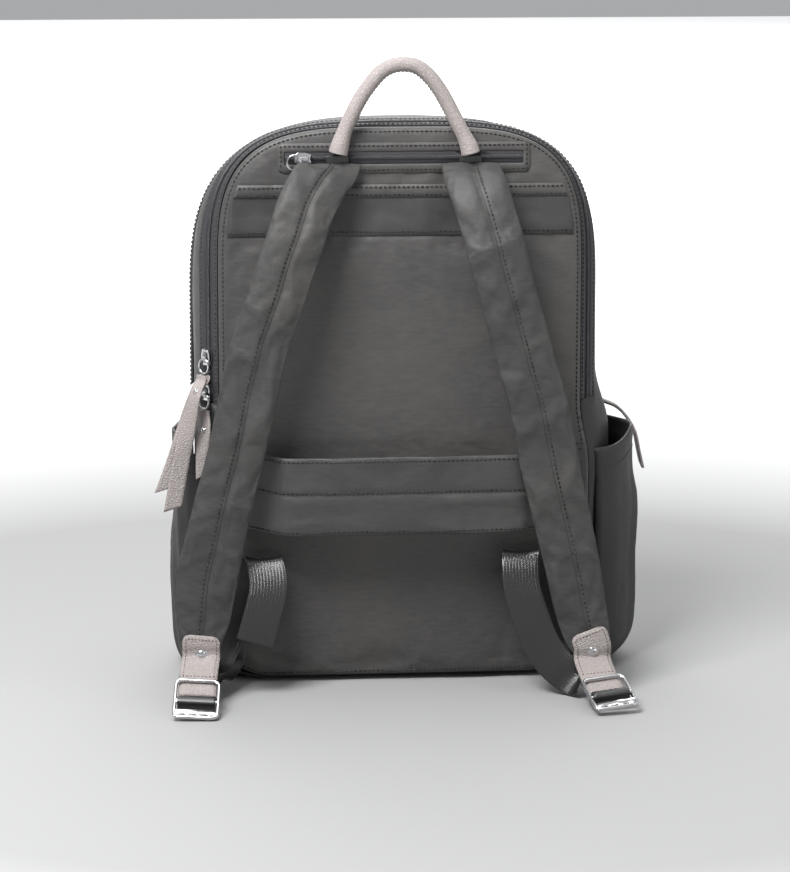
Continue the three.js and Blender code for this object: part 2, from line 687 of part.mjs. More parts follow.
// Webbing turns round the buckle's middle bar with a ply below each slot. Columns: along as a share
// of the buckle's length, reach and drop as shares of the turn's.
const TURN_UPPER = [
  { along: -0.4375, reach: 0, drop: 1.4 },
  { along: -0.125, reach: 0, drop: 1.09 },
  { along: 0.1875, reach: 0, drop: 1.0 },
  { along: 0.4538, reach: -1, drop: 1.0 },
  { along: 0.5381, reach: -1, drop: 0.72 },
  { along: 0.56, reach: -1, drop: 0.3 },
];
const TURN_OVER = [
  { reach: -1, rise: 0.55 },
  { reach: -0.72, rise: 0.95 },
  { reach: 0, rise: 1.1 },
  { reach: 0.72, rise: 0.95 },
  { reach: 1, rise: 0.55 },
];
const TURN_LOWER = [
  { along: 0.56, reach: 1, drop: 0.3 },
  { along: 0.5381, reach: 1, drop: 0.78 },
  { along: 0.435, reach: 1, drop: 1.0 },
  { along: 0.3125, reach: 0, drop: 1.01 },
];

function barTurn(frame) {
  const wrap = 1.3 * CLEARANCE + WEBBING_THICKNESS / 2;
  const reach = BUCKLE_BAR / 2 + wrap;
  const rise = BUCKLE_THICKNESS / 2 + wrap;
  const plyDrop = TAB_DROP + (TAB_THICKNESS + WEBBING_THICKNESS) / 2 + 2 * CLEARANCE;
  const barAxis = new THREE.Vector3().setFromMatrixColumn(frame, 0);
  const under = (drop) => (row) => ({
    at: inFrame(frame, row.along * BUCKLE_LENGTH + row.reach * reach, 0, -row.drop * drop),
    across: barAxis,
  });
  const over = TURN_OVER.map((row) => ({
    at: inFrame(frame, BAR_CENTRE + row.reach * reach, 0, row.rise * rise),
    across: barAxis,
  }));
  return [
    ...TURN_UPPER.map(under(plyDrop)),
    ...over,
    ...TURN_LOWER.map(under(plyDrop + PLY_SPACING)),
  ];
}

// Webbing routes. Columns: x as a share of the half width, out as a share of the strap's
// stand-off, z as a share of the height.
const LEFT_TAIL = [
  { x: -0.74, out: 0.93, z: 0.096 },
  { x: -0.7, out: 0.9, z: 0.145 },
  { x: -0.668, out: 0.82, z: 0.19 },
  { x: -0.672, out: 0.68, z: 0.226 },
  { x: -0.69, out: 0.55, z: 0.238 },
  { x: -0.715, out: 0.42, z: 0.226 },
  { x: -0.76, out: 0.38, z: 0.18 },
  { x: -0.85, out: 0.5, z: 0.12 },
  { x: -0.93, out: 0.8, z: 0.068 },
];
const LEFT_ANCHOR = [
  { x: -0.985, out: 1.0, z: 0.036 },
  { x: -0.93, out: 0.5, z: 0.026 },
  { x: -0.87, out: 0.14, z: 0.048 },
  { x: -0.845, out: 0.05, z: 0.085 },
];
const RIGHT_LOOP = [
  { x: 0.85, out: 0.05, z: 0.075 },
  { x: 0.8, out: 0.08, z: 0.115 },
  { x: 0.69, out: 0.2, z: 0.19 },
  { x: 0.61, out: 0.38, z: 0.232 },
  { x: 0.575, out: 0.56, z: 0.243 },
  { x: 0.566, out: 0.72, z: 0.225 },
  { x: 0.572, out: 0.83, z: 0.185 },
  { x: 0.61, out: 0.93, z: 0.138 },
  { x: 0.655, out: 1.1, z: 0.086 },
  { x: 0.77, out: 1.38, z: 0.041 },
];

const WEBBING_ROUTES = {
  left: { before: LEFT_TAIL, after: LEFT_ANCHOR },
  right: { before: RIGHT_LOOP, after: [] },
};

const routePoints = (rows) => rows.map((row) => ({ at: strapPoint(row), across: X_AXIS }));

function webbing(points, perStep) {
  const rows = points.map(({ at, across }) => ({
    x: at.x,
    y: at.y,
    z: at.z,
    acrossX: across.x,
    acrossY: across.y,
    acrossZ: across.z,
  }));
  const stations = smoothRows(rows, (rows.length - 1) * perStep).map((row) => ({
    at: new THREE.Vector3(row.x, row.y, row.z),
    across: new THREE.Vector3(row.acrossX, row.acrossY, row.acrossZ),
    width: WEBBING_WIDTH,
    thickness: WEBBING_THICKNESS,
  }));
  return sweep(stations, BAND_SECTION, X_AXIS);
}

// Handle arch. Columns: x as a share of half the span, rise as a share of the rise, radius as a
// share of the tube's radius.
const HANDLE_ARCH = [
  { x: -1.0, rise: 0.0, radius: 1.28 },
  { x: -0.965, rise: 0.1, radius: 1.2 },
  { x: -0.9, rise: 0.25, radius: 1.0 },
  { x: -0.82, rise: 0.39, radius: 1.0 },
  { x: -0.7, rise: 0.57, radius: 1.0 },
  { x: -0.55, rise: 0.745, radius: 1.0 },
  { x: -0.36, rise: 0.91, radius: 1.0 },
  { x: -0.18, rise: 0.985, radius: 1.0 },
  { x: 0.0, rise: 1.0, radius: 1.0 },
  { x: 0.177, rise: 0.975, radius: 1.0 },
  { x: 0.356, rise: 0.875, radius: 1.0 },
  { x: 0.536, rise: 0.7, radius: 1.0 },
  { x: 0.67, rise: 0.52, radius: 1.0 },
  { x: 0.79, rise: 0.345, radius: 1.0 },
  { x: 0.89, rise: 0.2, radius: 1.0 },
  { x: 0.965, rise: 0.08, radius: 1.2 },
  { x: 1.0, rise: -0.01, radius: 1.28 },
];

function topHandle() {
  const y = PANEL_FACE - CLEARANCE - HANDLE_STAND_OFF - 1;
  const stations = smoothRows(HANDLE_ARCH, 28).map((row) => ({
    at: new THREE.Vector3(
      (row.x * HANDLE_SPAN) / 2 + HANDLE_OFFSET,
      y,
      HANDLE_FOOT_HEIGHT + row.rise * HANDLE_RISE,
    ),
    across: new THREE.Vector3(0, 1, 0),
    width: 2 * HANDLE_RADIUS * row.radius,
    thickness: 2 * HANDLE_RADIUS * row.radius,
  }));
  return sweep(stations, roundSection(10), X_AXIS);
}

// Black loops hold the handle's feet on the panel.
const HANDLE_LOOP_WIDTH = 15;
const HANDLE_LOOP_HEIGHT = 6;
const HANDLE_LOOP_THICKNESS = 2.4;
const HANDLE_OFFSET = 1.6;

function handleLoop(side) {
  const x = (side * HANDLE_SPAN) / 2 + HANDLE_OFFSET;
  const foot = side < 0 ? HANDLE_ARCH[0] : HANDLE_ARCH[HANDLE_ARCH.length - 1];
  const top = HANDLE_FOOT_HEIGHT + foot.rise * HANDLE_RISE - 1.6;
  const shape = roundedRectangle(
    x - HANDLE_LOOP_WIDTH / 2,
    top - HANDLE_LOOP_HEIGHT,
    x + HANDLE_LOOP_WIDTH / 2,
    top,
    2,
  );
  const back = OVERLAY_BACK - OVERLAY_THICKNESS - CLEARANCE;
  return facePlate(shape, back, HANDLE_LOOP_THICKNESS);
}

// Side pockets. Columns: z as a share of the lip height, reach as a share of the bulge.
const POCKET_PROFILE = [
  { z: 0.018, reach: 0.47 },
  { z: 0.045, reach: 0.68 },
  { z: 0.08, reach: 0.83 },
  { z: 0.125, reach: 0.94 },
  { z: 0.19, reach: 1.0 },
  { z: 0.4, reach: 1.06 },
  { z: 0.62, reach: 1.03 },
  { z: 0.82, reach: 0.95 },
  { z: 1.0, reach: 0.86 },
];
const POCKET_FRONT_DEPTH = 0.1 * BODY_DEPTH;
const POCKET_REAR_DEPTH = 0.82 * BODY_DEPTH;
const POCKET_COLUMNS = 10;
const POCKET_FLOOR = 1.2;

function sidePocket(side, bulge) {
  const seam = 4 * CLEARANCE + POCKET_WALL;
  const bodyHalf = (depth, z) => {
    const lowest = sectionAt(depth).foot + POCKET_FLOOR + POCKET_WALL;
    return halfWidthAt(depth, Math.max(z, lowest)) + seam;
  };
  const point = (z, reach, share) => {
    const depth = mix(POCKET_FRONT_DEPTH, POCKET_REAR_DEPTH, share);
    const body = bodyHalf(depth, z);
    const outer = HALF_WIDTH + seam + reach * bulge;
    const swell = Math.pow(Math.sin(Math.PI * share), 0.72);
    const x = body + Math.max(outer - body, 0) * swell;
    return new THREE.Vector3(side * x, PANEL_FACE + depth, z);
  };
  const shares = Array.from({ length: POCKET_COLUMNS + 1 }, (_, k) => k / POCKET_COLUMNS);
  const floorRow = shares.map((share) => {
    const depth = mix(POCKET_FRONT_DEPTH, POCKET_REAR_DEPTH, share);
    return new THREE.Vector3(side * bodyHalf(depth, 0), PANEL_FACE + depth, POCKET_FLOOR);
  });
  const wallRows = POCKET_PROFILE.map((row) =>
    shares.map((share) => point(row.z * POCKET_LIP_HEIGHT, row.reach, share)),
  );
  const rows = [floorRow, ...wallRows];
  const normals = gridNormals(rows, false);
  const inward = normals[4][POCKET_COLUMNS / 2].x * side > 0 ? -1 : 1;
  return sheet(rows, offsetGrid(rows, normals, inward * POCKET_WALL));
}

// Depth at which the front of the bag is met at a point of its face.
function frontDepthAt(x, z) {
  const inside = (depth) => {
    const s = sectionAt(depth);
    return z >= s.foot && z <= s.top && Math.abs(x) <= halfWidthAt(depth, z);
  };
  let [near, far] = [FRONT_EDGE_SHARE * BODY_DEPTH, BODY_DEPTH];
  if (inside(far)) return far;
  for (let k = 0; k < FRONT_DEPTH_STEPS; k += 1) {
    const middle = (near + far) / 2;
    if (inside(middle)) near = middle;
    else far = middle;
  }
  return near;
}

// Padded panel on the front, a low pillow of cloth that follows the shell.
const FRONT_EDGE_SHARE = 0.82;
const FRONT_DEPTH_STEPS = 20;
const FRONT_PANEL_CELLS = 10;
const FRONT_PANEL_CORNER_SHARE = 0.24;
const FRONT_PANEL_POWER = 4;

function frontPanel() {
  const spread = Array.from({ length: FRONT_PANEL_CELLS + 1 }, (_, k) => {
    const t = (2 * k) / FRONT_PANEL_CELLS - 1;
    return Math.sin((t * Math.PI) / 2);
  });
  const squeeze = (t) => Math.sqrt(1 - FRONT_PANEL_CORNER_SHARE * t * t);
  const fill = (t) => 1 - Math.pow(Math.abs(t), FRONT_PANEL_POWER);
  const middle = FRONT_PANEL_BOTTOM + FRONT_PANEL_HEIGHT / 2;
  const grid = (rise) =>
    spread.map((v) =>
      spread.map((u) => {
        const x = (FRONT_PANEL_WIDTH / 2) * u * squeeze(v);
        const z = middle + (FRONT_PANEL_HEIGHT / 2) * v * squeeze(u);
        const y = PANEL_FACE + frontDepthAt(x, z) + 2 * CLEARANCE;
        return new THREE.Vector3(x, y + rise(fill(u) * fill(v)), z);
      }),
    );
  const back = grid(() => 0);
  const front = grid((full) => mix(FRONT_PANEL_EDGE, FRONT_PANEL_RISE, Math.sqrt(full)));
  return sheet(front, back);
}

// Zipper hardware.

function slider() {
  const shape = roundedRectangle(
    -SLIDER_WIDTH / 2,
    -SLIDER_LENGTH / 2,
    SLIDER_WIDTH / 2,
    SLIDER_LENGTH / 2,
    2,
  );
  return new THREE.ExtrudeGeometry(shape, {
    depth: SLIDER_THICKNESS,
    bevelEnabled: false,
    curveSegments: 3,
  });
}

// An oval of wire in the XY plane.
function wireOval(length, width, sides = 6) {
  const count = 14;
  const ring = Array.from({ length: count }, (_, k) => {
    const angle = (2 * Math.PI * k) / count;
    const centre = new THREE.Vector3(
      (width / 2) * Math.cos(angle),
      (length / 2) * Math.sin(angle),
      0,
    );
    const out = new THREE.Vector3(Math.cos(angle), Math.sin(angle), 0);
    return Array.from({ length: sides }, (_, s) => {
      const turn = (2 * Math.PI * s) / sides;
      return centre
        .clone()
        .addScaledVector(out, (RING_WIRE / 2) * Math.cos(turn))
        .add(new THREE.Vector3(0, 0, (RING_WIRE / 2) * Math.sin(turn)));
    });
  });
  const polygons = [];
  for (let i = 0; i < count; i += 1) {
    for (let s = 0; s < sides; s += 1) {
      const [i1, s1] = [(i + 1) % count, (s + 1) % sides];
      polygons.push([ring[i][s], ring[i1][s], ring[i1][s1], ring[i][s1]]);
    }
  }
  return geometryOf(polygons);
}

// A slider's own axes are across the coil (X), up along it (Y) and out of the cloth (Z).
function sliderFrame(side, depth, z, lift) {
  const reach = SLIDER_WIDTH / 2;
  const slope = halfWidthAt(depth + reach / 2, z) - halfWidthAt(depth - reach / 2, z);
  const across = new THREE.Vector3(slope * side, reach, 0).normalize();
  const up = new THREE.Vector3(0, 0, 1);
  const out = across.clone().cross(up);
  if (out.x * side < 0) {
    out.negate();
    across.negate();
  }
  const matrix = new THREE.Matrix4().makeBasis(across, up, out);
  const x = side * halfWidthAt(depth, z);
  const seat = new THREE.Vector3(x, PANEL_FACE + depth, z).addScaledVector(out, lift);
  return matrix.setPosition(seat);
}

const RING_LENGTH = 10;
const RING_WIDTH = 9;
const RING_SEAT = SLIDER_THICKNESS + CLEARANCE + RING_WIRE / 2;
const RING_DROP = 6;
const PULLER_START = RING_DROP + RING_LENGTH / 2 + RING_WIRE / 2 + CLEARANCE;
const PULLER_NECK = PULLER_START + 0.26 * PULLER_WIDTH;

// Leather strip that hangs from a slider's ring through points that lie free of the bag.
function pullerStations(frame, points, { thickness, shift }) {
  const start = new THREE.Vector3(0, -PULLER_START, RING_SEAT + shift).applyMatrix4(frame);
  const second = new THREE.Vector3(0, -PULLER_NECK, RING_SEAT + shift).applyMatrix4(frame);
  const all = [start, second, ...points.map(strapPoint)];
  const rows = all.map((p) => ({ x: p.x, y: p.y, z: p.z }));
  const flat = new THREE.Vector3().setFromMatrixColumn(frame, 0);
  return smoothRows(rows, 2 * (rows.length - 1)).map((row, i) => ({
    at: new THREE.Vector3(row.x, row.y, row.z),
    across: flat.clone().lerp(X_AXIS, clamp01((i - 2) / 4)),
    fixed: true,
    width: PULLER_WIDTH,
    thickness,
  }));
}

// Materials.
const cloth = (color, roughness = 0.8) =>
  new THREE.MeshStandardMaterial({ color, roughness, metalness: 0 });
const MATERIALS = {
  nylon: cloth(0x55554f, 0.55),
  panel: cloth(0x5c5b58, 0.6),
  yoke: cloth(0x4c4c4f, 0.65),
  tape: cloth(0x4a4a4e, 0.7),
  coil: cloth(0x3a3a3c, 0.5),
  webbing: cloth(0x2b2b2d, 0.45),
  leather: cloth(0xb9aea9, 0.6),
  chrome: new THREE.MeshStandardMaterial({ color: 0xd2d4d6, roughness: 0.15, metalness: 1 }),
};

const backpack = new THREE.Group();

function add(name, geometry, material, parent = backpack) {
  const mesh = new THREE.Mesh(geometry, material);
  mesh.name = name;
  parent.add(mesh);
  return mesh;
}

add("front_shell", frontShell(), MATERIALS.nylon);
add("harness_panel", harnessPanel(), MATERIALS.panel);
add("zip_tape_inner", zipperBand(ZIP_START, INNER_TAPE_END, TAPE_THICKNESS), MATERIALS.tape);
add("zip_coil", zipperBand(COIL_START, COIL_END, COIL_THICKNESS, 0.5), MATERIALS.coil);
add("zip_tape_outer", zipperBand(OUTER_TAPE_START, OUTER_TAPE_END, TAPE_THICKNESS), MATERIALS.tape);
add("yoke_band", yokeBand(), MATERIALS.yoke);
add("pocket_welt", pocketWelt(), MATERIALS.yoke);
add("pocket_coil", pocketCoil(), MATERIALS.coil);
add("trolley_sleeve", trolleySleeve(), MATERIALS.panel);
add("strap_left", shoulderStrap(STRAP_LEFT), MATERIALS.nylon);
add("strap_right", shoulderStrap(STRAP_RIGHT), MATERIALS.nylon);
add("top_handle", topHandle(), MATERIALS.leather);
add("handle_loop_left", handleLoop(-1), MATERIALS.webbing);
add("handle_loop_right", handleLoop(1), MATERIALS.webbing);
add("side_pocket_left", sidePocket(-1, POCKET_BULGE_LEFT), MATERIALS.nylon);
add("side_pocket_right", sidePocket(1, POCKET_BULGE_RIGHT), MATERIALS.nylon);
add("front_panel", frontPanel(), MATERIALS.nylon);

// Buckles, tabs and webbing on both sides.
const TAB_LIFT = 2.5 * CLEARANCE + TAB_THICKNESS / 2;
for (const [side, rows] of [["left", STRAP_LEFT], ["right", STRAP_RIGHT]]) {
  const frame = buckleFrame(BUCKLES[side]);
  const holder = new THREE.Group();
  holder.applyMatrix4(frame);
  backpack.add(holder);
  add(`buckle_${side}`, buckleGeometry(), MATERIALS.chrome, holder);
  const tab = leatherTab(rows, frame, TAB_LIFT);
  add(`tab_${side}`, tab.geometry, MATERIALS.leather);
  add(
    `tab_rivet_${side}`,
    rivetOn(tab.stations, TAB_RIVET_SHARE, TAB_THICKNESS, RIVET_RADIUS, RIVET_HEIGHT),
    MATERIALS.chrome,
  );
  const { before, after } = WEBBING_ROUTES[side];
  const points = [...routePoints(before), ...barTurn(frame), ...routePoints(after)];
  add(`webbing_${side}`, webbing(points, 2), MATERIALS.webbing);
}

// Main zipper's two sliders on the left, each with a ring and a leather puller. Puller columns
// are those of the straps.
const MAIN_COIL_DEPTH = (COIL_START + COIL_END) / 2;
const MAIN_SLIDER_LIFT = COIL_THICKNESS / 4 + CLEARANCE;
const PULLERS = [
  {
    name: "upper",
    height: 1.165 * ZIP_END_HEIGHT,
    rivetShare: 0.4,
    layers: [
      {
        name: "front",
        thickness: 0.5 * PULLER_THICKNESS,
        shift: 1.1 * PULLER_THICKNESS,
        points: [
          { x: -1.004, out: -0.01, z: 0.525 },
          { x: -1.035, out: -0.01, z: 0.475 },
          { x: -1.078, out: -0.03, z: 0.4 },
          { x: -1.122, out: -0.03, z: 0.314 },
        ],
      },
      {
        name: "back",
        thickness: 0.5 * PULLER_THICKNESS,
        shift: -0.3 * PULLER_THICKNESS,
        points: [
          { x: -1.0, out: -0.15, z: 0.525 },
          { x: -1.043, out: -0.14, z: 0.475 },
          { x: -1.1, out: -0.13, z: 0.41 },
          { x: -1.165, out: -0.12, z: 0.347 },
        ],
      },
    ],
  },
  {
    name: "lower",
    height: 1.04 * ZIP_END_HEIGHT,
    rivetShare: 0.5,
    layers: [
      {
        name: "strip",
        thickness: PULLER_THICKNESS,
        shift: 0,
        points: [
          { x: -0.958, out: -0.15, z: 0.46 },
          { x: -0.972, out: -0.12, z: 0.42 },
          { x: -0.985, out: -0.11, z: 0.37 },
        ],
      },
    ],
  },
];

for (const puller of PULLERS) {
  const frame = sliderFrame(-1, MAIN_COIL_DEPTH, puller.height, MAIN_SLIDER_LIFT);
  const holder = new THREE.Group();
  holder.applyMatrix4(frame);
  backpack.add(holder);
  add(`slider_${puller.name}`, slider(), MATERIALS.chrome, holder);
  const ring = add(`ring_${puller.name}`, wireOval(RING_LENGTH, RING_WIDTH), MATERIALS.chrome, holder);
  ring.position.set(0, -RING_DROP, RING_SEAT);
  puller.layers.forEach((layer, i) => {
    const stations = pullerStations(frame, layer.points, layer);
    add(`puller_${puller.name}_${layer.name}`, sweep(stations, BAND_SECTION, X_AXIS), MATERIALS.leather);
    if (i > 0) return;
    add(
      `puller_rivet_${puller.name}`,
      rivetOn(stations, puller.rivetShare, layer.thickness, PULLER_RIVET_RADIUS, PULLER_RIVET_HEIGHT),
      MATERIALS.chrome,
    );
  });
}

// Second compartment's zipper, further back on the gusset, its puller over the right pocket.
const REAR_COIL_START = 0.76 * BODY_DEPTH;
const REAR_COIL_END = REAR_COIL_START + COIL_WIDTH;
const REAR_COIL_RAISE = CLEARANCE + TAPE_THICKNESS;
const REAR_PULLER = [
  { x: 1.09, out: -2.42, z: 0.462 },
  { x: 1.16, out: -2.2, z: 0.452 },
  { x: 1.205, out: -1.95, z: 0.437 },
  { x: 1.245, out: -1.85, z: 0.41 },
  { x: 1.265, out: -1.8, z: 0.375 },
  { x: 1.283, out: -1.76, z: 0.345 },
];
add(
  "rear_coil",
  zipperBand(REAR_COIL_START, REAR_COIL_END, TAPE_THICKNESS, REAR_COIL_RAISE),
  MATERIALS.coil,
);
{
  const depth = (REAR_COIL_START + REAR_COIL_END) / 2;
  const frame = sliderFrame(1, depth, 1.06 * ZIP_END_HEIGHT, REAR_COIL_RAISE + CLEARANCE);
  const holder = new THREE.Group();
  holder.applyMatrix4(frame);
  backpack.add(holder);
  add("slider_rear", slider(), MATERIALS.chrome, holder);
  const ring = add("ring_rear", wireOval(RING_LENGTH, RING_WIDTH), MATERIALS.chrome, holder);
  ring.position.set(0, -RING_DROP, RING_SEAT);
  const stations = pullerStations(frame, REAR_PULLER, { thickness: PULLER_THICKNESS, shift: 0 });
  for (const station of stations) station.across = new THREE.Vector3(0, 1, 0);
  add("puller_rear", sweep(stations, BAND_SECTION, X_AXIS), MATERIALS.leather);
}

// Slider and ring of the zip pocket, near its left end.
const POCKET_SLIDER_X = 0.4 * WELT_WIDTH;
const pocketSlider = add("pocket_slider", slider(), MATERIALS.chrome);
pocketSlider.rotation.set(Math.PI / 2, 0, 0);
pocketSlider.rotateZ(Math.PI / 2);
pocketSlider.position.set(
  -POCKET_SLIDER_X,
  OVERLAY_BACK - OVERLAY_THICKNESS - CLEARANCE,
  POCKET_ZIP_HEIGHT,
);
const pocketRing = add("pocket_ring", wireOval(RING_LENGTH, RING_WIDTH), MATERIALS.chrome);
pocketRing.rotation.set(Math.PI / 2, 0, 0);
pocketRing.position.set(
  -POCKET_SLIDER_X - 0.6 * RING_LENGTH,
  OVERLAY_BACK - OVERLAY_THICKNESS - CLEARANCE - RING_SEAT,
  POCKET_ZIP_HEIGHT - 0.25 * RING_LENGTH,
);

export default backpack;
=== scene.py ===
"""Anti theft backpack on its base, harness side towards -Y: the visual model.

Left and right are those of a viewer who faces the harness. Shapes are worked out in millimetres
and turned into metres when a mesh is made.
"""

import logging
import math
from dataclasses import dataclass, field
from enum import Enum
from typing import Callable, Iterable, Sequence

import bmesh
import bpy
import numpy as np
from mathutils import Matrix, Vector, noise
from mathutils.bvhtree import BVHTree


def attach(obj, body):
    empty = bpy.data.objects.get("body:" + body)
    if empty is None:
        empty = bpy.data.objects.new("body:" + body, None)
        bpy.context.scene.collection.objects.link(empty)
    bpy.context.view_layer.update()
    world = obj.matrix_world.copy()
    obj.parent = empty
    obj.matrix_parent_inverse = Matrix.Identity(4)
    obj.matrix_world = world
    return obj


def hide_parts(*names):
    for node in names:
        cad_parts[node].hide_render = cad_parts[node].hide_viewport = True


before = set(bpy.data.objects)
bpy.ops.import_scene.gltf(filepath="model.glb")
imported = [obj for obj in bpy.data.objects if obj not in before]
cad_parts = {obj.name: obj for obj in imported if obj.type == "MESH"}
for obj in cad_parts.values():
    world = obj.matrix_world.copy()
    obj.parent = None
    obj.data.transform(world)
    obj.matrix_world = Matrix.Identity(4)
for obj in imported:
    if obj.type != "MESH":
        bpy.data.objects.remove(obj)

LOG = logging.getLogger("backpack")
SAME_SPOT = 1e-5
MM = 0.001
BODY = "root"
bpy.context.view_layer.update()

Array = np.ndarray
Colour = tuple[float, float, float]


# Small sums.


def mix(a: float, b: float, t: float) -> float:
    """Value between a and b at the share t."""
    return a + (b - a) * t


def ease(t: float | Array) -> float | Array:
    """Smooth step of t, held at 0 and 1."""
    t = np.clip(t, 0.0, 1.0)
    return t * t * (3.0 - 2.0 * t)


def unit(v: Array) -> Array:
    """Rows of v scaled to length one."""
    return v / np.maximum(np.linalg.norm(v, axis=-1, keepdims=True), 1e-9)


def catmull(rows: Array, count: int) -> Array:
    """Rows of numbers passed through smoothly.

    Args:
        rows: the rows to pass through.
        count: steps over the whole run.

    Returns:
        count + 1 rows at even steps.
    """
    s = np.linspace(0.0, len(rows) - 1.0, count + 1)
    i = np.minimum(s.astype(int), len(rows) - 2)
    t = (s - i)[:, None]
    a, b, c, d = (rows[np.clip(i + k, 0, len(rows) - 1)] for k in (-1, 0, 1, 2))
    return b + 0.5 * t * (c - a + t * (2 * a - 5 * b + 4 * c - d + t * (3 * (b - c) + d - a)))


def evenly(points: Array, count: int) -> Array:
    """A polyline's points again, count + 1 of them, evenly spaced along it."""
    steps = np.linalg.norm(np.diff(points, axis=0), axis=1)
    run = np.concatenate([[0.0], np.cumsum(steps)])
    want = np.linspace(0.0, run[-1], count + 1)
    return np.stack([np.interp(want, run, points[:, k]) for k in range(points.shape[1])], axis=1)


def mirrored(half: Array, ring: bool = False) -> Array:
    """Points (x, z) of one half and their images, with one end's image left out for a ring."""
    images = half[1 if ring else 0 : -1][::-1] * (-1, 1)
    return np.concatenate([half, images])


def ripple(point: Sequence[float], wavelength: float, seed: float) -> float:
    """Smooth noise from -1 to 1 at a point in millimetres."""
    return noise.noise(Vector(point) / wavelength + Vector((seed, 1.7 * seed, -0.6 * seed)))


def crease(point: Sequence[float], wavelength: float, seed: float) -> float:
    """Noise with sharp ridges, from 0 to 1, for creases in cloth."""
    return 1.0 - min(1.0, 3.0 * abs(ripple(point, wavelength, seed)))


class MonotoneTable:
    """Columns of a table read between its rows without overshoot."""

    def __init__(self, rows: Array) -> None:
        """rows has the key in its first column, rising."""
        self.keys = rows[:, 0]
        self.values = rows[:, 1:]
        gaps = np.diff(self.keys)[:, None]
        slopes = np.diff(self.values, axis=0) / gaps
        tangents = np.zeros_like(self.values)
        same = slopes[1:] * slopes[:-1] > 0
        middle = 2 * slopes[1:] * slopes[:-1] / np.where(same, slopes[1:] + slopes[:-1], 1.0)
        tangents[1:-1] = np.where(same, middle, 0.0)
        tangents[0] = slopes[0]
        tangents[-1] = slopes[-1]
        self.tangents = tangents

    def at(self, key: float) -> Array:
        """All columns at a key, held beyond the ends."""
        key = min(max(key, self.keys[0]), self.keys[-1])
        i = int(np.clip(np.searchsorted(self.keys, key) - 1, 0, len(self.keys) - 2))
        gap = self.keys[i + 1] - self.keys[i]
        t = (key - self.keys[i]) / gap
        a, b = self.values[i], self.values[i + 1]
        m, n = self.tangents[i] * gap, self.tangents[i + 1] * gap
        return (
            a * (1 + 2 * t) * (1 - t) ** 2
            + m * t * (1 - t) ** 2
            + b * t * t * (3 - 2 * t)
            + n * t * t * (t - 1)
        )


# Outline of the bag.

FACE_Y = -65.0


@dataclass(frozen=True)
class Section:
    """Outline of the bag at one depth, in millimetres."""

    half: float
    top: float
    foot: float
    shoulder: float
    power: float
    flare: float


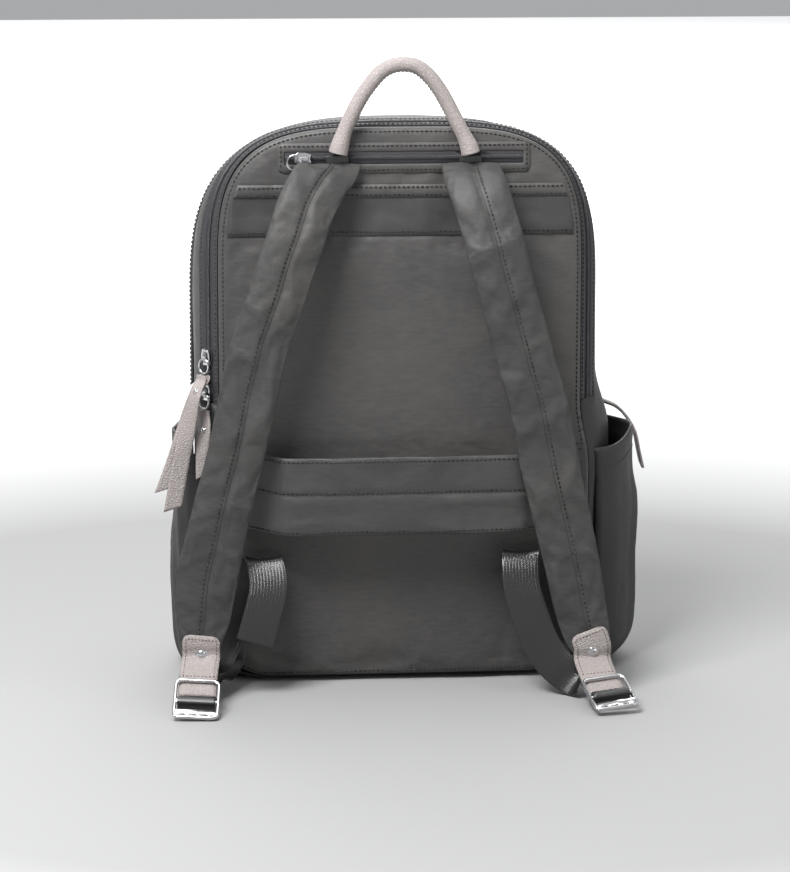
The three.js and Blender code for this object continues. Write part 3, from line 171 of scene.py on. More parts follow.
@dataclass(frozen=True)
class BagOutline:
    """The bag's rounded outline at every depth behind the harness face."""

    half: float = 138.0
    height: float = 382.0
    depth: float = 130.0
    corner: float = 34.0
    zip_end: float = 192.15
    flare_drop: float = 45.84
    base_points: int = 14
    corner_points: int = 9
    low_points: int = 22
    high_points: int = 12
    arch_points: int = 44
    table: MonotoneTable = field(
        default_factory=lambda: MonotoneTable(
            np.array(
                [
                    (0.0, 0.888, 0.992, 0.01, 0.715, 3.8, 0.052),
                    (0.048, 0.895, 0.994, 0.007, 0.712, 3.7, 0.05),
                    (0.17, 0.97, 1.0, 0.0, 0.69, 3.3, 0.02),
                    (0.338, 1.0, 1.0, 0.0, 0.668, 3.1, 0.0),
                    (0.6, 1.0, 0.992, 0.0, 0.66, 3.0, 0.0),
                    (0.82, 0.982, 0.968, 0.0, 0.65, 3.0, 0.0),
                    (0.915, 0.935, 0.94, 0.01, 0.65, 3.0, 0.0),
                    (0.965, 0.865, 0.9, 0.034, 0.64, 2.9, 0.0),
                    (0.99, 0.7, 0.81, 0.11, 0.6, 2.8, 0.0),
                    (1.0, 0.4, 0.64, 0.27, 0.5, 2.6, 0.0),
                ]
            )
        )
    )

    def section(self, depth: float) -> Section:
        """Outline at a depth."""
        width, top, foot, shoulder, power, flare = self.table.at(depth / self.depth)
        return Section(
            self.half * width,
            self.height * top,
            self.height * foot,
            self.height * shoulder,
            power,
            flare,
        )

    def half_width(self, depth: float, z: float, inset: float = 0.0) -> float:
        """Half width of the bag at a depth and a height."""
        s = self.section(depth)
        half = s.half * (1 + s.flare * float(ease((self.zip_end - z) / self.flare_drop))) - inset
        if z > s.shoulder:
            share = min(1.0, (z - s.shoulder) / (s.top - inset - s.shoulder))
            return half * (1 - share**s.power) ** (1 / s.power)
        below = s.foot + inset + self.corner - z
        if below <= 0:
            return half
        drop = min(below, self.corner)
        return half - self.corner + math.sqrt(self.corner**2 - drop**2)

    def right_side(self, depth: float, inset: float = 0.0) -> Array:
        """Outline from the middle of the base to the top, on the right.

        Args:
            depth: depth behind the harness face.
            inset: how far inside the outline.

        Returns:
            Points (x, z), the same number at every depth.
        """
        s = self.section(depth)
        foot = s.foot + inset
        top = s.top - inset
        corner_top = min(foot + self.corner, mix(foot, s.shoulder, 0.4))
        radius = corner_top - foot
        corner_half = self.half_width(depth, corner_top, inset)
        zip_z = min(self.zip_end, mix(corner_top, s.shoulder, 0.75))
        base = [
            (x, foot) for x in np.linspace(0, corner_half - radius, self.base_points, endpoint=False)
        ]
        turn = np.linspace(0, math.pi / 2, self.corner_points, endpoint=False)
        corner = [
            (corner_half - radius + radius * math.sin(a), foot + radius - radius * math.cos(a))
            for a in turn
        ]
        heights = [
            *np.linspace(corner_top, zip_z, self.low_points, endpoint=False),
            *np.linspace(zip_z, s.shoulder, self.high_points, endpoint=False),
        ]
        side = [(self.half_width(depth, z, inset), z) for z in heights]
        angle = np.linspace(0, math.pi / 2, 8 * self.arch_points)
        cos, sin = np.cos(angle), np.sin(angle)
        reach = (cos**s.power + sin**s.power) ** (-1 / s.power)
        arch = np.stack(
            [(s.half - inset) * reach * cos, s.shoulder + (top - s.shoulder) * reach * sin], axis=1
        )
        return np.array([*base, *corner, *side, *evenly(arch, self.arch_points)])

    def ring(self, depth: float, inset: float = 0.0) -> Array:
        """Closed outline at a depth, as points in space, from the base's middle to the right."""
        flat = mirrored(self.right_side(depth, inset), ring=True)
        return np.stack([flat[:, 0], np.full(len(flat), FACE_Y + depth), flat[:, 1]], axis=1)

    @property
    def zip_column(self) -> int:
        """Column of the ring where the main zipper ends on the right."""
        return self.base_points + self.corner_points + self.low_points

    def zipper_line(self, depth: float, count: int, inset: float = 0.0) -> Array:
        """Line of the main zipper from its right end over the top to its left end."""
        right = self.right_side(depth, inset)[self.zip_column :]
        line = evenly(mirrored(right), count)
        return np.stack([line[:, 0], np.full(len(line), FACE_Y + depth), line[:, 1]], axis=1)


OUTLINE = BagOutline()


# Meshes.


def link(name: str, mesh: bpy.types.Mesh) -> bpy.types.Object:
    """A new object for a mesh, linked to the scene."""
    piece = bpy.data.objects.new(name, mesh)
    bpy.context.scene.collection.objects.link(piece)
    return piece


class Soup:
    """Vertices, faces and metric UVs gathered into one mesh."""

    def __init__(self) -> None:
        """Start empty."""
        self.points: list[Array] = []
        self.faces: list[tuple[int, ...]] = []
        self.uvs: list[tuple[tuple[float, float], ...]] = []

    def add_points(self, points: Array) -> int:
        """Add rows of points and return the index of the first."""
        start = len(self.points)
        self.points.extend(np.asarray(points, dtype=float).reshape(-1, 3))
        return start

    def add_face(self, corners: Sequence[int], uvs: Sequence[tuple[float, float]]) -> None:
        """Add a face unless it has no area."""
        kept = [
            (c, uv)
            for k, (c, uv) in enumerate(zip(corners, uvs))
            if sum(map(abs, self.points[c] - self.points[corners[k - 1]])) > SAME_SPOT
        ]
        if len(kept) >= 3:
            self.faces.append(tuple(c for c, _ in kept))
            self.uvs.append(tuple(uv for _, uv in kept))

    def grid(
        self,
        points: Array,
        closed: bool = False,
        keep: Callable[[int, int], bool] | None = None,
        flip: bool = False,
        uv: tuple[Array, Array] | None = None,
    ) -> int:
        """Add a grid of points as quads.

        Args:
            points: rows by columns by 3, in millimetres.
            closed: whether the columns close into rings.
            keep: which cells are there.
            flip: turn the faces over.
            uv: metres along the columns and along the rows, measured if left out.

        Returns:
            Index of the grid's first vertex.
        """
        rows, columns = points.shape[:2]
        start = self.add_points(points)
        across, along = uv or self.measure(points, closed)
        for i in range(rows - 1):
            for j in range(columns if closed else columns - 1):
                if keep and not keep(i, j):
                    continue
                k = (j + 1) % columns
                cells = [(i, j, j), (i + 1, j, j), (i + 1, k, j + 1), (i, k, j + 1)]
                if flip:
                    cells.reverse()
                self.add_face(
                    [start + a * columns + b for a, b, _ in cells],
                    [(across[a, c], along[a, min(c, columns - 1)]) for a, _, c in cells],
                )
        return start

    @staticmethod
    def measure(points: Array, closed: bool) -> tuple[Array, Array]:
        """Metres along a grid's columns, one more when closed, and along its rows."""
        looped = np.concatenate([points, points[:, :1]], axis=1) if closed else points
        steps = np.linalg.norm(np.diff(looped, axis=1), axis=2).mean(axis=0)
        across = np.concatenate([[0.0], np.cumsum(steps)]) * MM
        rises = np.linalg.norm(np.diff(points, axis=0), axis=2).mean(axis=1)
        along = np.concatenate([[0.0], np.cumsum(rises)]) * MM
        rows, columns = points.shape[:2]
        return (np.tile(across, (rows, 1)), np.tile(along[:, None], (1, columns)))

    def cap(self, ring: Sequence[int]) -> None:
        """Close a ring of vertices with one face."""
        corners = list(ring)
        self.add_face(corners, [tuple(self.points[c][:2] * MM) for c in corners])

    def piece(self, name: str, material: bpy.types.Material, smooth: bool = True) -> bpy.types.Object:
        """Make the object, doubles merged and faces out."""
        mesh = bpy.data.meshes.new(name)
        mesh.from_pydata([tuple(p * MM) for p in self.points], [], self.faces)
        layer = mesh.uv_layers.new(name="cloth")
        layer.data.foreach_set("uv", np.array([v for uv in self.uvs for v in uv]).ravel())
        work = bmesh.new()
        work.from_mesh(mesh)
        bmesh.ops.remove_doubles(work, verts=work.verts, dist=2e-6)
        loose = [v for v in work.verts if not v.link_faces]
        bmesh.ops.delete(work, geom=loose, context="VERTS")
        bmesh.ops.recalc_face_normals(work, faces=work.faces)
        if work.calc_volume(signed=True) < 0:
            bmesh.ops.reverse_faces(work, faces=work.faces)
        work.to_mesh(mesh)
        work.free()
        mesh.materials.append(material)
        mesh.polygons.foreach_set("use_smooth", [smooth] * len(mesh.polygons))
        return link(name, mesh)


def grid_normals(points: Array, closed: bool = False) -> Array:
    """Normals of a grid of points by central differences."""
    along = np.gradient(points, axis=0)
    if closed:
        across = np.roll(points, -1, axis=1) - np.roll(points, 1, axis=1)
    else:
        across = np.gradient(points, axis=1)
    return unit(np.cross(along, across))


def turned_to(normals: Array, index: tuple[int, ...], towards: Sequence[float]) -> Array:
    """Normals, all turned over unless the one at an index faces a direction."""
    return -normals if np.dot(normals[index], towards) < 0 else normals


def add_sheet(
    soup: Soup,
    front: Array,
    back: Array,
    closed: bool = False,
    keep: Callable[[int, int], bool] | None = None,
) -> None:
    """Add a closed sheet of cloth between two grids.

    Args:
        soup: where the faces go.
        front: one side's points, rows by columns by 3.
        back: the other side's points.
        closed: whether the columns close into rings.
        keep: which cells are cloth.
    """
    rows, columns = front.shape[:2]
    cloth = keep or (lambda i, j: True)
    uv = soup.measure(front, closed)
    first = soup.grid(front, closed, keep, uv=uv)
    second = soup.grid(back, closed, keep, flip=True, uv=uv)

    def there(i: int, j: int) -> bool:
        """Whether a cell is inside the grid and is cloth."""
        if not 0 <= i < rows - 1 or not (closed or 0 <= j < columns - 1):
            return False
        return cloth(i, j % columns)

    def wall(i0: int, j0: int, i1: int, j1: int) -> None:
        """Join the two sides along one edge of a cell."""
        a, b = i0 * columns + j0 % columns, i1 * columns + j1 % columns
        across, along = uv
        near = (across[i0, j0], along[i0, j0 % columns])
        far = (across[i1, j1], along[i1, j1 % columns])
        soup.add_face([first + a, first + b, second + b, second + a], [near, far, far, near])

    for i in range(rows - 1):
        for j in range(columns if closed else columns - 1):
            if not there(i, j):
                continue
            if not there(i - 1, j):
                wall(i, j, i, j + 1)
            if not there(i + 1, j):
                wall(i + 1, j + 1, i + 1, j)
            if not there(i, j - 1):
                wall(i + 1, j, i, j)
            if not there(i, j + 1):
                wall(i, j + 1, i + 1, j + 1)


def add_sweep(soup: Soup, rings: Array, closed_path: bool = False) -> None:
    """Add a skin through rings of points, capped unless the path is closed."""
    if closed_path:
        soup.grid(np.concatenate([rings, rings[:1]]), closed=True)
        return
    start = soup.grid(rings, closed=True)
    count, sides = rings.shape[:2]
    soup.cap([start + k for k in range(sides)])
    soup.cap([start + (count - 1) * sides + k for k in reversed(range(sides))])


def rings_along(
    points: Array, across: Array, sections: Array, level: bool = False
) -> tuple[Array, Array, Array]:
    """Carry a section along points.

    Args:
        points: centre points, n by 3.
        across: direction of each section's first axis, n by 3.
        sections: the sections' points (u, v) in millimetres, n by m by 2.
        level: keep across as given, not squared to the path.

    Returns:
        Rings n by m by 3, the first axes and the second axes.
    """
    tangent = unit(np.gradient(points, axis=0))
    if not level:
        across = across - tangent * (across * tangent).sum(axis=1, keepdims=True)
    across = unit(across)
    out = unit(np.cross(tangent, across))
    rings = (
        points[:, None]
        + across[:, None] * sections[..., :1]
        + out[:, None] * sections[..., 1:]
    )
    return rings, across, out


def round_section(sides: int, radius: float) -> Array:
    """A circle's points."""
    angle = np.arange(sides) * 2 * math.pi / sides
    return radius * np.stack([np.cos(angle), np.sin(angle)], axis=1)


def band_section(width: float, thickness: float, corner: float, columns: int = 6) -> Array:
    """A flat band's section with rounded edges, and columns points across each face."""
    corner = min(corner, 0.49 * thickness)
    across = np.linspace(-width / 2 + corner, width / 2 - corner, columns)
    half = thickness / 2
    turn = np.radians([60, 30, 0, -30, -60])
    edge = np.stack(
        [width / 2 - corner + corner * np.cos(turn), (half - corner) * np.sign(np.sin(turn))
         + corner * np.sin(turn)], axis=1,
    )
    edge[2, 1] = 0.0
    top = np.stack([across, np.full(columns, half)], axis=1)
    return np.concatenate([top, edge, top[::-1] * (1, -1), edge[::-1] * (-1, 1)])


class Skin:
    """A finished mesh that other pieces are laid on."""

    PROBES = ((0.0, 0.0), (0.9, 0.3), (-0.9, -0.3), (-0.3, 0.9), (0.3, -0.9))

    def __init__(self, piece: bpy.types.Object) -> None:
        """piece is read as it stands, in metres."""
        mesh = piece.data
        points = [v.co.copy() for v in mesh.vertices]
        self.tree = BVHTree.FromPolygons(points, [tuple(p.vertices) for p in mesh.polygons])

    def face_y(self, x: float, z: float, default: float = FACE_Y) -> float:
        """Where lines from the front round x and z meet the mesh, their median in millimetres."""
        found = []
        for aside, up in self.PROBES:
            start = Vector(((x + aside) * MM, -0.3, (z + up) * MM))
            hit, *_ = self.tree.ray_cast(start, Vector((0, 1, 0)))
            if hit:
                found.append(hit.y / MM)
        return float(np.median(found)) if found else default

    def nearest(self, point: Sequence[float]) -> tuple[Array, Array]:
        """Nearest point of the mesh and its normal, in millimetres."""
        place, normal, *_ = self.tree.find_nearest(Vector(point) * MM)
        return np.array(place) / MM, np.array(normal)

    def lay(self, points: Iterable[Sequence[float]]) -> tuple[Array, Array]:
        """Points moved on to the mesh, and the normals there."""
        found = [self.nearest(p) for p in points]
        return np.array([p for p, _ in found]), np.array([n for _, n in found])


def settle_cloth(
    piece: bpy.types.Object,
    held: Array,
    pressure: float = 2.0,
    slack: float = 0.02,
    cap: float = 3.0,
    frames: int = 18,
) -> None:
    """Let a cloth simulation puff and wrinkle a piece, then apply it.

    Args:
        piece: closed mesh in metres.
        held: how firmly each vertex is held, from 0 to 1.
        pressure: how hard the filling pushes out.
        slack: share by which the cloth is larger than its shape.
        cap: how far a point may move, in millimetres.
        frames: steps of the simulation.
    """
    LOG.info("%s settles", piece.name)
    before = [v.co.copy() for v in piece.data.vertices]
    group = piece.vertex_groups.new(name="held")
    for index, weight in enumerate(held):
        group.add([index], float(weight), "REPLACE")
    cloth = piece.modifiers.new("cloth", "CLOTH")
    settings = cloth.settings
    settings.quality = 5
    settings.mass = 0.15
    settings.tension_stiffness = settings.compression_stiffness = 25
    settings.shear_stiffness = 8
    settings.bending_stiffness = 0.4
    settings.shrink_min = -slack
    settings.use_pressure = True
    settings.uniform_pressure_force = pressure
    settings.vertex_group_mass = group.name
    settings.effector_weights.gravity = 0
    cloth.collision_settings.use_collision = False
    cloth.point_cache.frame_end = frames
    for step in range(1, frames + 1):
        bpy.context.scene.frame_set(step)
    graph = bpy.context.evaluated_depsgraph_get()
    settled = piece.evaluated_get(graph).to_mesh()
    moved = [v.co.copy() for v in settled.vertices]
    piece.evaluated_get(graph).to_mesh_clear()
    piece.modifiers.remove(cloth)
    piece.vertex_groups.remove(group)
    bpy.context.scene.frame_set(1)
    limit = cap * MM
    for v, a, b in zip(piece.data.vertices, before, moved):
        step_taken = b - a
        length = step_taken.length
        if length > 0.0:
            v.co = a + step_taken * (limit * math.tanh(length / limit) / length)
    piece.data.update()


# Finishes.


class Slot(Enum):
    """Material slots of the record."""

    SHELL = "shell_nylon"
    PANEL = "panel_nylon"
    STRAP = "strap_nylon"
    YOKE = "yoke_nylon"
    TAPE = "zipper_tape"
    COIL = "zipper_coil"
    WEBBING = "webbing"
    LEATHER = "leather"
    HARDWARE = "hardware"


class Nodes:
    """Adds nodes and links to a tree in few words."""

    def __init__(self, tree: bpy.types.NodeTree) -> None:
        """tree is the node tree to fill."""
        self.tree = tree

    def add(self, kind: str, **settings: object) -> bpy.types.Node:
        """A new node with its settings."""
        node = self.tree.nodes.new(kind)
        for key, value in settings.items():
            setattr(node, key, value)
        return node

    def join(self, source: bpy.types.NodeSocket, target: bpy.types.NodeSocket) -> None:
        """Link two sockets."""
        self.tree.links.new(source, target)

    def feed(self, socket: bpy.types.NodeSocket, value: object) -> None:
        """Link a socket, or set it where value is a plain one."""
        if isinstance(value, bpy.types.NodeSocket):
            self.join(value, socket)
        else:
            socket.default_value = value

    def math(self, operation: str, *values: object) -> bpy.types.NodeSocket:
        """A math node's result."""
        node = self.add("ShaderNodeMath", operation=operation)
        for socket, value in zip(node.inputs, values):
            self.feed(socket, value)
        return node.outputs[0]

    def blend(self, share: object, a: object, b: object) -> bpy.types.NodeSocket:
        """A mix of two colours."""
        node = self.add("ShaderNodeMix", data_type="RGBA")
        self.feed(node.inputs[0], share)
        self.feed(node.inputs[6], a)
        self.feed(node.inputs[7], b)
        return node.outputs[2]

    def remap(
        self, value: object, low: float, high: float, to_low: float, to_high: float
    ) -> bpy.types.NodeSocket:
        """A value moved from one range to another, held at its ends."""
        node = self.add("ShaderNodeMapRange")
        for socket, number in zip(node.inputs, (value, low, high, to_low, to_high)):
            self.feed(socket, number)
        return node.outputs[0]

    def noise(self, vector: object, scale: float, detail: float = 2.0) -> bpy.types.NodeSocket:
        """A noise texture's value."""
        node = self.add("ShaderNodeTexNoise")
        self.feed(node.inputs["Vector"], vector)
        node.inputs["Scale"].default_value = scale
        node.inputs["Detail"].default_value = detail
        return node.outputs[0]


class PatternGroup:
    """A shared shader node group with named inputs and outputs."""

    built: dict[str, bpy.types.NodeTree] = {}

    @classmethod
    def get(
        cls,
        name: str,
        inputs: dict[str, str],
        outputs: dict[str, str],
        fill: Callable[[Nodes, dict, dict], None],
    ) -> bpy.types.NodeTree:
        """The group of this name, built at its first use.

        Args:
            name: name of the group.
            inputs: socket type of each input.
            outputs: socket type of each output.
            fill: makes the nodes between the two.

        Returns:
            The node tree.
        """
        if name in cls.built:
            return cls.built[name]
        tree = bpy.data.node_groups.new(name, "ShaderNodeTree")
        for key, kind in inputs.items():
            tree.interface.new_socket(key, in_out="INPUT", socket_type=kind)
        for key, kind in outputs.items():
            tree.interface.new_socket(key, in_out="OUTPUT", socket_type=kind)
        nodes = Nodes(tree)
        source, target = nodes.add("NodeGroupInput"), nodes.add("NodeGroupOutput")
        fill(
            nodes,
            {key: source.outputs[key] for key in inputs},
            {key: target.inputs[key] for key in outputs},
        )
        cls.built[name] = tree
        return tree


FLOAT, VECTOR, COLOUR = "NodeSocketFloat", "NodeSocketVector", "NodeSocketColor"


def fill_weave(nodes: Nodes, source: dict, target: dict) -> None:
    """Plain weave: threads of two directions pass over and under each other."""
    split = nodes.add("ShaderNodeSeparateXYZ")
    nodes.join(source["Place"], split.inputs[0])
    u = nodes.math("DIVIDE", split.outputs[0], source["Pitch"])
    v = nodes.math("DIVIDE", split.outputs[1], source["Pitch"])

    def threads(
        a: bpy.types.NodeSocket, b: bpy.types.NodeSocket, lead: float
    ) -> bpy.types.NodeSocket:
        """Height of the threads that run along b."""
        body = nodes.math("ABSOLUTE", nodes.math("SINE", nodes.math("MULTIPLY", a, math.pi)))
        turn = nodes.math("ADD", b, nodes.math("FLOOR", a))
        over = nodes.math("COSINE", nodes.math("MULTIPLY", nodes.math("ADD", turn, lead), math.pi))
        return nodes.math("MULTIPLY", body, nodes.math("MULTIPLY_ADD", over, 0.5, 0.5))

    height = nodes.math("MAXIMUM", threads(u, v, 0.0), threads(v, u, 1.0))
    slub = nodes.noise(source["Place"], 900.0, 1.0)
    nodes.join(nodes.math("MULTIPLY_ADD", slub, 0.25, height), target["Height"])
    nodes.join(nodes.math("SMOOTH_MIN", height, 1.0, 0.2), target["Crowns"])


def fill_tone(nodes: Nodes, source: dict, target: dict) -> None:
    """Large soft patches of a second colour placed by noise: random tone, and on the nylon a painted
    sheen.
    """
    broad = nodes.noise(source["Place"], 12.0, 2.0)
    slant = nodes.add("ShaderNodeMapping")
    nodes.join(source["Place"], slant.inputs["Vector"])
    slant.inputs["Rotation"].default_value = (0.0, 0.35, 0.0)
    slant.inputs["Scale"].default_value = (0.35, 1.0, 1.6)
    fine = nodes.noise(slant.outputs[0], 420.0, 3.0)
    share = nodes.math("MULTIPLY_ADD", fine, 0.5, nodes.math("MULTIPLY", broad, 0.5))
    mask = nodes.remap(share, 0.38, 0.62, 0.0, 1.0)
    nodes.join(mask, target["Mask"])
    amount = nodes.math("MULTIPLY", mask, source["Amount"])
    nodes.join(nodes.blend(amount, source["Base"], source["Shift"]), target["Colour"])


def fill_grain(nodes: Nodes, source: dict, target: dict) -> None:
    """Leather grain: small pebbles with creases between them."""
    cells = nodes.add("ShaderNodeTexVoronoi", feature="DISTANCE_TO_EDGE")
    nodes.join(source["Place"], cells.inputs["Vector"])
    nodes.join(source["Scale"], cells.inputs["Scale"])
    pebble = nodes.remap(cells.outputs["Distance"], 0.0, 0.28, 0.0, 1.0)
    pores = nodes.noise(source["Place"], 2600.0, 2.0)
    nodes.join(nodes.math("MULTIPLY_ADD", pores, 0.3, pebble), target["Height"])
    nodes.join(nodes.math("SUBTRACT", 1.0, pebble), target["Creases"])


def fill_ribs(nodes: Nodes, source: dict, target: dict) -> None:
    """Webbing: fine slanting ribs across the band, mirrored at each cord."""
    split = nodes.add("ShaderNodeSeparateXYZ")
    nodes.join(source["Place"], split.inputs[0])
    u = nodes.math("DIVIDE", split.outputs[0], source["Pitch"])
    v = nodes.math("DIVIDE", split.outputs[1], source["Pitch"])
    cord = nodes.math("PINGPONG", u, 1.0)
    slant = nodes.math("SINE", nodes.math("MULTIPLY", nodes.math("ADD", v, cord), 2 * math.pi))
    edge = nodes.math("ABSOLUTE", nodes.math("SINE", nodes.math("MULTIPLY", u, math.pi)))
    height = nodes.math("MULTIPLY", nodes.math("MULTIPLY_ADD", slant, 0.5, 0.5), edge)
    nodes.join(height, target["Height"])


def fill_wear(nodes: Nodes, source: dict, target: dict) -> None:
    """Thin scuffs and smudges, as a mask from 0 to 1."""
    smudge = nodes.noise(source["Place"], 90.0, 4.0)
    stretch = nodes.add("ShaderNodeMapping")
    nodes.join(source["Place"], stretch.inputs["Vector"])
    stretch.inputs["Scale"].default_value = (1.0, 14.0, 1.0)
    scratch = nodes.noise(stretch.outputs[0], 420.0, 3.0)
    marks = nodes.remap(scratch, 0.58, 0.7, 0.0, 1.0)
    nodes.join(nodes.remap(nodes.math("MULTIPLY_ADD", marks, 0.4, smudge), 0.4, 0.9, 0.0, 1.0),
               target["Mask"])


def pattern(name: str) -> bpy.types.NodeTree:
    """One of the shared groups by name."""
    kits = {
        "weave": ({"Place": VECTOR, "Pitch": FLOAT}, {"Height": FLOAT, "Crowns": FLOAT}, fill_weave),
        "tone": (
            {"Place": VECTOR, "Base": COLOUR, "Shift": COLOUR, "Amount": FLOAT},
            {"Colour": COLOUR, "Mask": FLOAT},
            fill_tone,
        ),
        "grain": ({"Place": VECTOR, "Scale": FLOAT}, {"Height": FLOAT, "Creases": FLOAT}, fill_grain),
        "ribs": ({"Place": VECTOR, "Pitch": FLOAT}, {"Height": FLOAT}, fill_ribs),
        "wear": ({"Place": VECTOR}, {"Mask": FLOAT}, fill_wear),
    }
    return PatternGroup.get(name, *kits[name])


@dataclass(frozen=True)
class Finish:
    """What every finish shares: a name, a colour and how it takes the light."""

    name: str
    base: Colour
    roughness: float = 0.6

    def start(self) -> tuple[bpy.types.Material, Nodes, bpy.types.Node, dict]:
        """A new material with its Principled shader and the two places patterns use."""
        material = bpy.data.materials.new(self.name)
        material.use_nodes = True
        nodes = Nodes(material.node_tree)
        shader = material.node_tree.nodes["Principled BSDF"]
        texture = nodes.add("ShaderNodeTexCoord")
        places = {"object": texture.outputs["Object"], "cloth": texture.outputs["UV"]}
        shader.inputs["Roughness"].default_value = self.roughness
        return material, nodes, shader, places

    def use(self, nodes: Nodes, name: str, **values: object) -> bpy.types.Node:
        """Place a shared group and feed its inputs."""
        node = nodes.add("ShaderNodeGroup", node_tree=pattern(name))
        for key, value in values.items():
            if isinstance(value, tuple) and len(value) == 3:
                value = (*value, 1.0)
            nodes.feed(node.inputs[key], value)
        return node

    def bump(self, nodes: Nodes, shader: bpy.types.Node, *layers: tuple[object, float]) -> None:
        """Stack heights, each with its height in metres, into the normal."""
        last = None
        for height, distance in layers:
            node = nodes.add("ShaderNodeBump")
            node.inputs["Distance"].default_value = distance
            node.inputs["Strength"].default_value = 1.0
            nodes.feed(node.inputs["Height"], height)
            if last:
                nodes.join(last.outputs[0], node.inputs["Normal"])
            last = node
        nodes.join(last.outputs[0], shader.inputs["Normal"])


@dataclass(frozen=True)
class NylonFinish(Finish):
    """Woven nylon with a soft sheen."""

    shift: Colour = (0.1, 0.1, 0.1)
    pitch: float = 0.0006
    relief: float = 0.00005
    sheen: float = 0.35
    sheen_tint: Colour = (0.8, 0.75, 0.68)
    planar: bool = False
    wrinkle: float = 0.0004
    swell: float = 0.0025

    def material(self) -> bpy.types.Material:
        """The finish as a material."""
        material, nodes, shader, places = self.start()
        place = places["object"]
        if self.planar:
            split = nodes.add("ShaderNodeSeparateXYZ")
            nodes.join(place, split.inputs[0])
            flat = nodes.add("ShaderNodeCombineXYZ")
            nodes.join(split.outputs[0], flat.inputs[0])
            nodes.join(split.outputs[2], flat.inputs[1])
            thread_place = flat.outputs[0]
        else:
            thread_place = places["cloth"]
        weave = self.use(nodes, "weave", Place=thread_place, Pitch=self.pitch)
        # Base and shift mixed in noise patches: random tone and a painted sheen.
        tone = self.use(nodes, "tone", Place=place, Base=self.base, Shift=self.shift, Amount=0.8)
        # Darker between the threads' crowns: painted shade in the weave's hollows.
        dark = tuple(0.55 * c for c in self.base)
        share = nodes.remap(weave.outputs["Crowns"], 0.0, 0.7, 0.45, 0.0)
        nodes.join(nodes.blend(share, tone.outputs["Colour"], (*dark, 1.0)),
                   shader.inputs["Base Color"])
        rough = nodes.remap(tone.outputs["Mask"], 0.0, 1.0, self.roughness, self.roughness - 0.1)
        nodes.join(rough, shader.inputs["Roughness"])
        broad, soft = nodes.noise(place, 20.0, 2.0), nodes.noise(place, 60.0, 3.0)
        self.bump(
            nodes, shader, (broad, self.swell), (soft, self.wrinkle),
            (weave.outputs["Height"], self.relief),
        )
        shader.inputs["Sheen Weight"].default_value = self.sheen
        shader.inputs["Sheen Roughness"].default_value = 0.4
        shader.inputs["Sheen Tint"].default_value = (*self.sheen_tint, 1.0)
        shader.inputs["Specular IOR Level"].default_value = 0.35
        return material


@dataclass(frozen=True)
class WebbingFinish(Finish):
    """Ribbed polyester webbing with a silky gloss."""

    pitch: float = 0.00105
    relief: float = 0.00007

    def material(self) -> bpy.types.Material:
        """The finish as a material."""
        material, nodes, shader, places = self.start()
        ribs = self.use(nodes, "ribs", Place=places["cloth"], Pitch=self.pitch)
        # Darker between the ribs: painted shade in the webbing's hollows.
        deep = tuple(0.6 * c for c in self.base)
        nodes.join(
            nodes.blend(ribs.outputs["Height"], (*deep, 1.0), (*self.base, 1.0)),
            shader.inputs["Base Color"],
        )
        fuzz = nodes.noise(places["cloth"], 2400.0, 2.0)
        self.bump(nodes, shader, (ribs.outputs["Height"], self.relief), (fuzz, 0.00004))
        shader.inputs["Specular IOR Level"].default_value = 0.7
        return material


@dataclass(frozen=True)
class LeatherFinish(Finish):
    """Coated leather with a pebbled grain."""

    shift: Colour = (0.4, 0.35, 0.33)
    grain: float = 620.0
    relief: float = 0.0003

    def material(self) -> bpy.types.Material:
        """The finish as a material."""
        material, nodes, shader, places = self.start()
        place = places["object"]
        grain = self.use(nodes, "grain", Place=place, Scale=self.grain)
        tone = self.use(nodes, "tone", Place=place, Base=self.base, Shift=self.shift, Amount=0.6)
        # Darker in the grain's creases: painted shade in the hollows.
        deep = tuple(0.62 * c for c in self.base)
        share = nodes.math("MULTIPLY", grain.outputs["Creases"], 0.75)
        nodes.join(
            nodes.blend(share, tone.outputs["Colour"], (*deep, 1.0)), shader.inputs["Base Color"]
        )
        rough = nodes.remap(grain.outputs["Creases"], 0, 1, self.roughness, self.roughness + 0.2)
        nodes.join(rough, shader.inputs["Roughness"])
        self.bump(nodes, shader, (grain.outputs["Height"], self.relief))
        shader.inputs["Specular IOR Level"].default_value = 0.45
        return material


@dataclass(frozen=True)
class MetalFinish(Finish):
    """Bright plated metal with faint wear."""

    def material(self) -> bpy.types.Material:
        """The finish as a material."""
        material, nodes, shader, places = self.start()
        wear = self.use(nodes, "wear", Place=places["object"])
        dull = tuple(0.75 * c for c in self.base)
        nodes.join(
            nodes.blend(wear.outputs["Mask"], (*self.base, 1.0), (*dull, 1.0)),
            shader.inputs["Base Color"],
        )
        rough = nodes.remap(wear.outputs["Mask"], 0, 1, self.roughness, self.roughness + 0.16)
        nodes.join(rough, shader.inputs["Roughness"])
        self.bump(nodes, shader, (nodes.noise(places["object"], 300.0, 3.0), 0.00002))
        shader.inputs["Metallic"].default_value = 1.0
        return material


@dataclass(frozen=True)
class ThreadFinish(Finish):
    """Twisted thread, and the moulded filament of a zipper."""

    shift: Colour = (0.05, 0.05, 0.05)
    gloss: float = 0.12

    def material(self) -> bpy.types.Material:
        """The finish as a material."""
        material, nodes, shader, places = self.start()
        tone = self.use(
            nodes, "tone", Place=places["object"], Base=self.base, Shift=self.shift, Amount=1.0
        )
        nodes.join(tone.outputs["Colour"], shader.inputs["Base Color"])
        self.bump(nodes, shader, (nodes.noise(places["object"], 1800.0, 2.0), 0.00008))
        shader.inputs["Specular IOR Level"].default_value = self.gloss
        return material


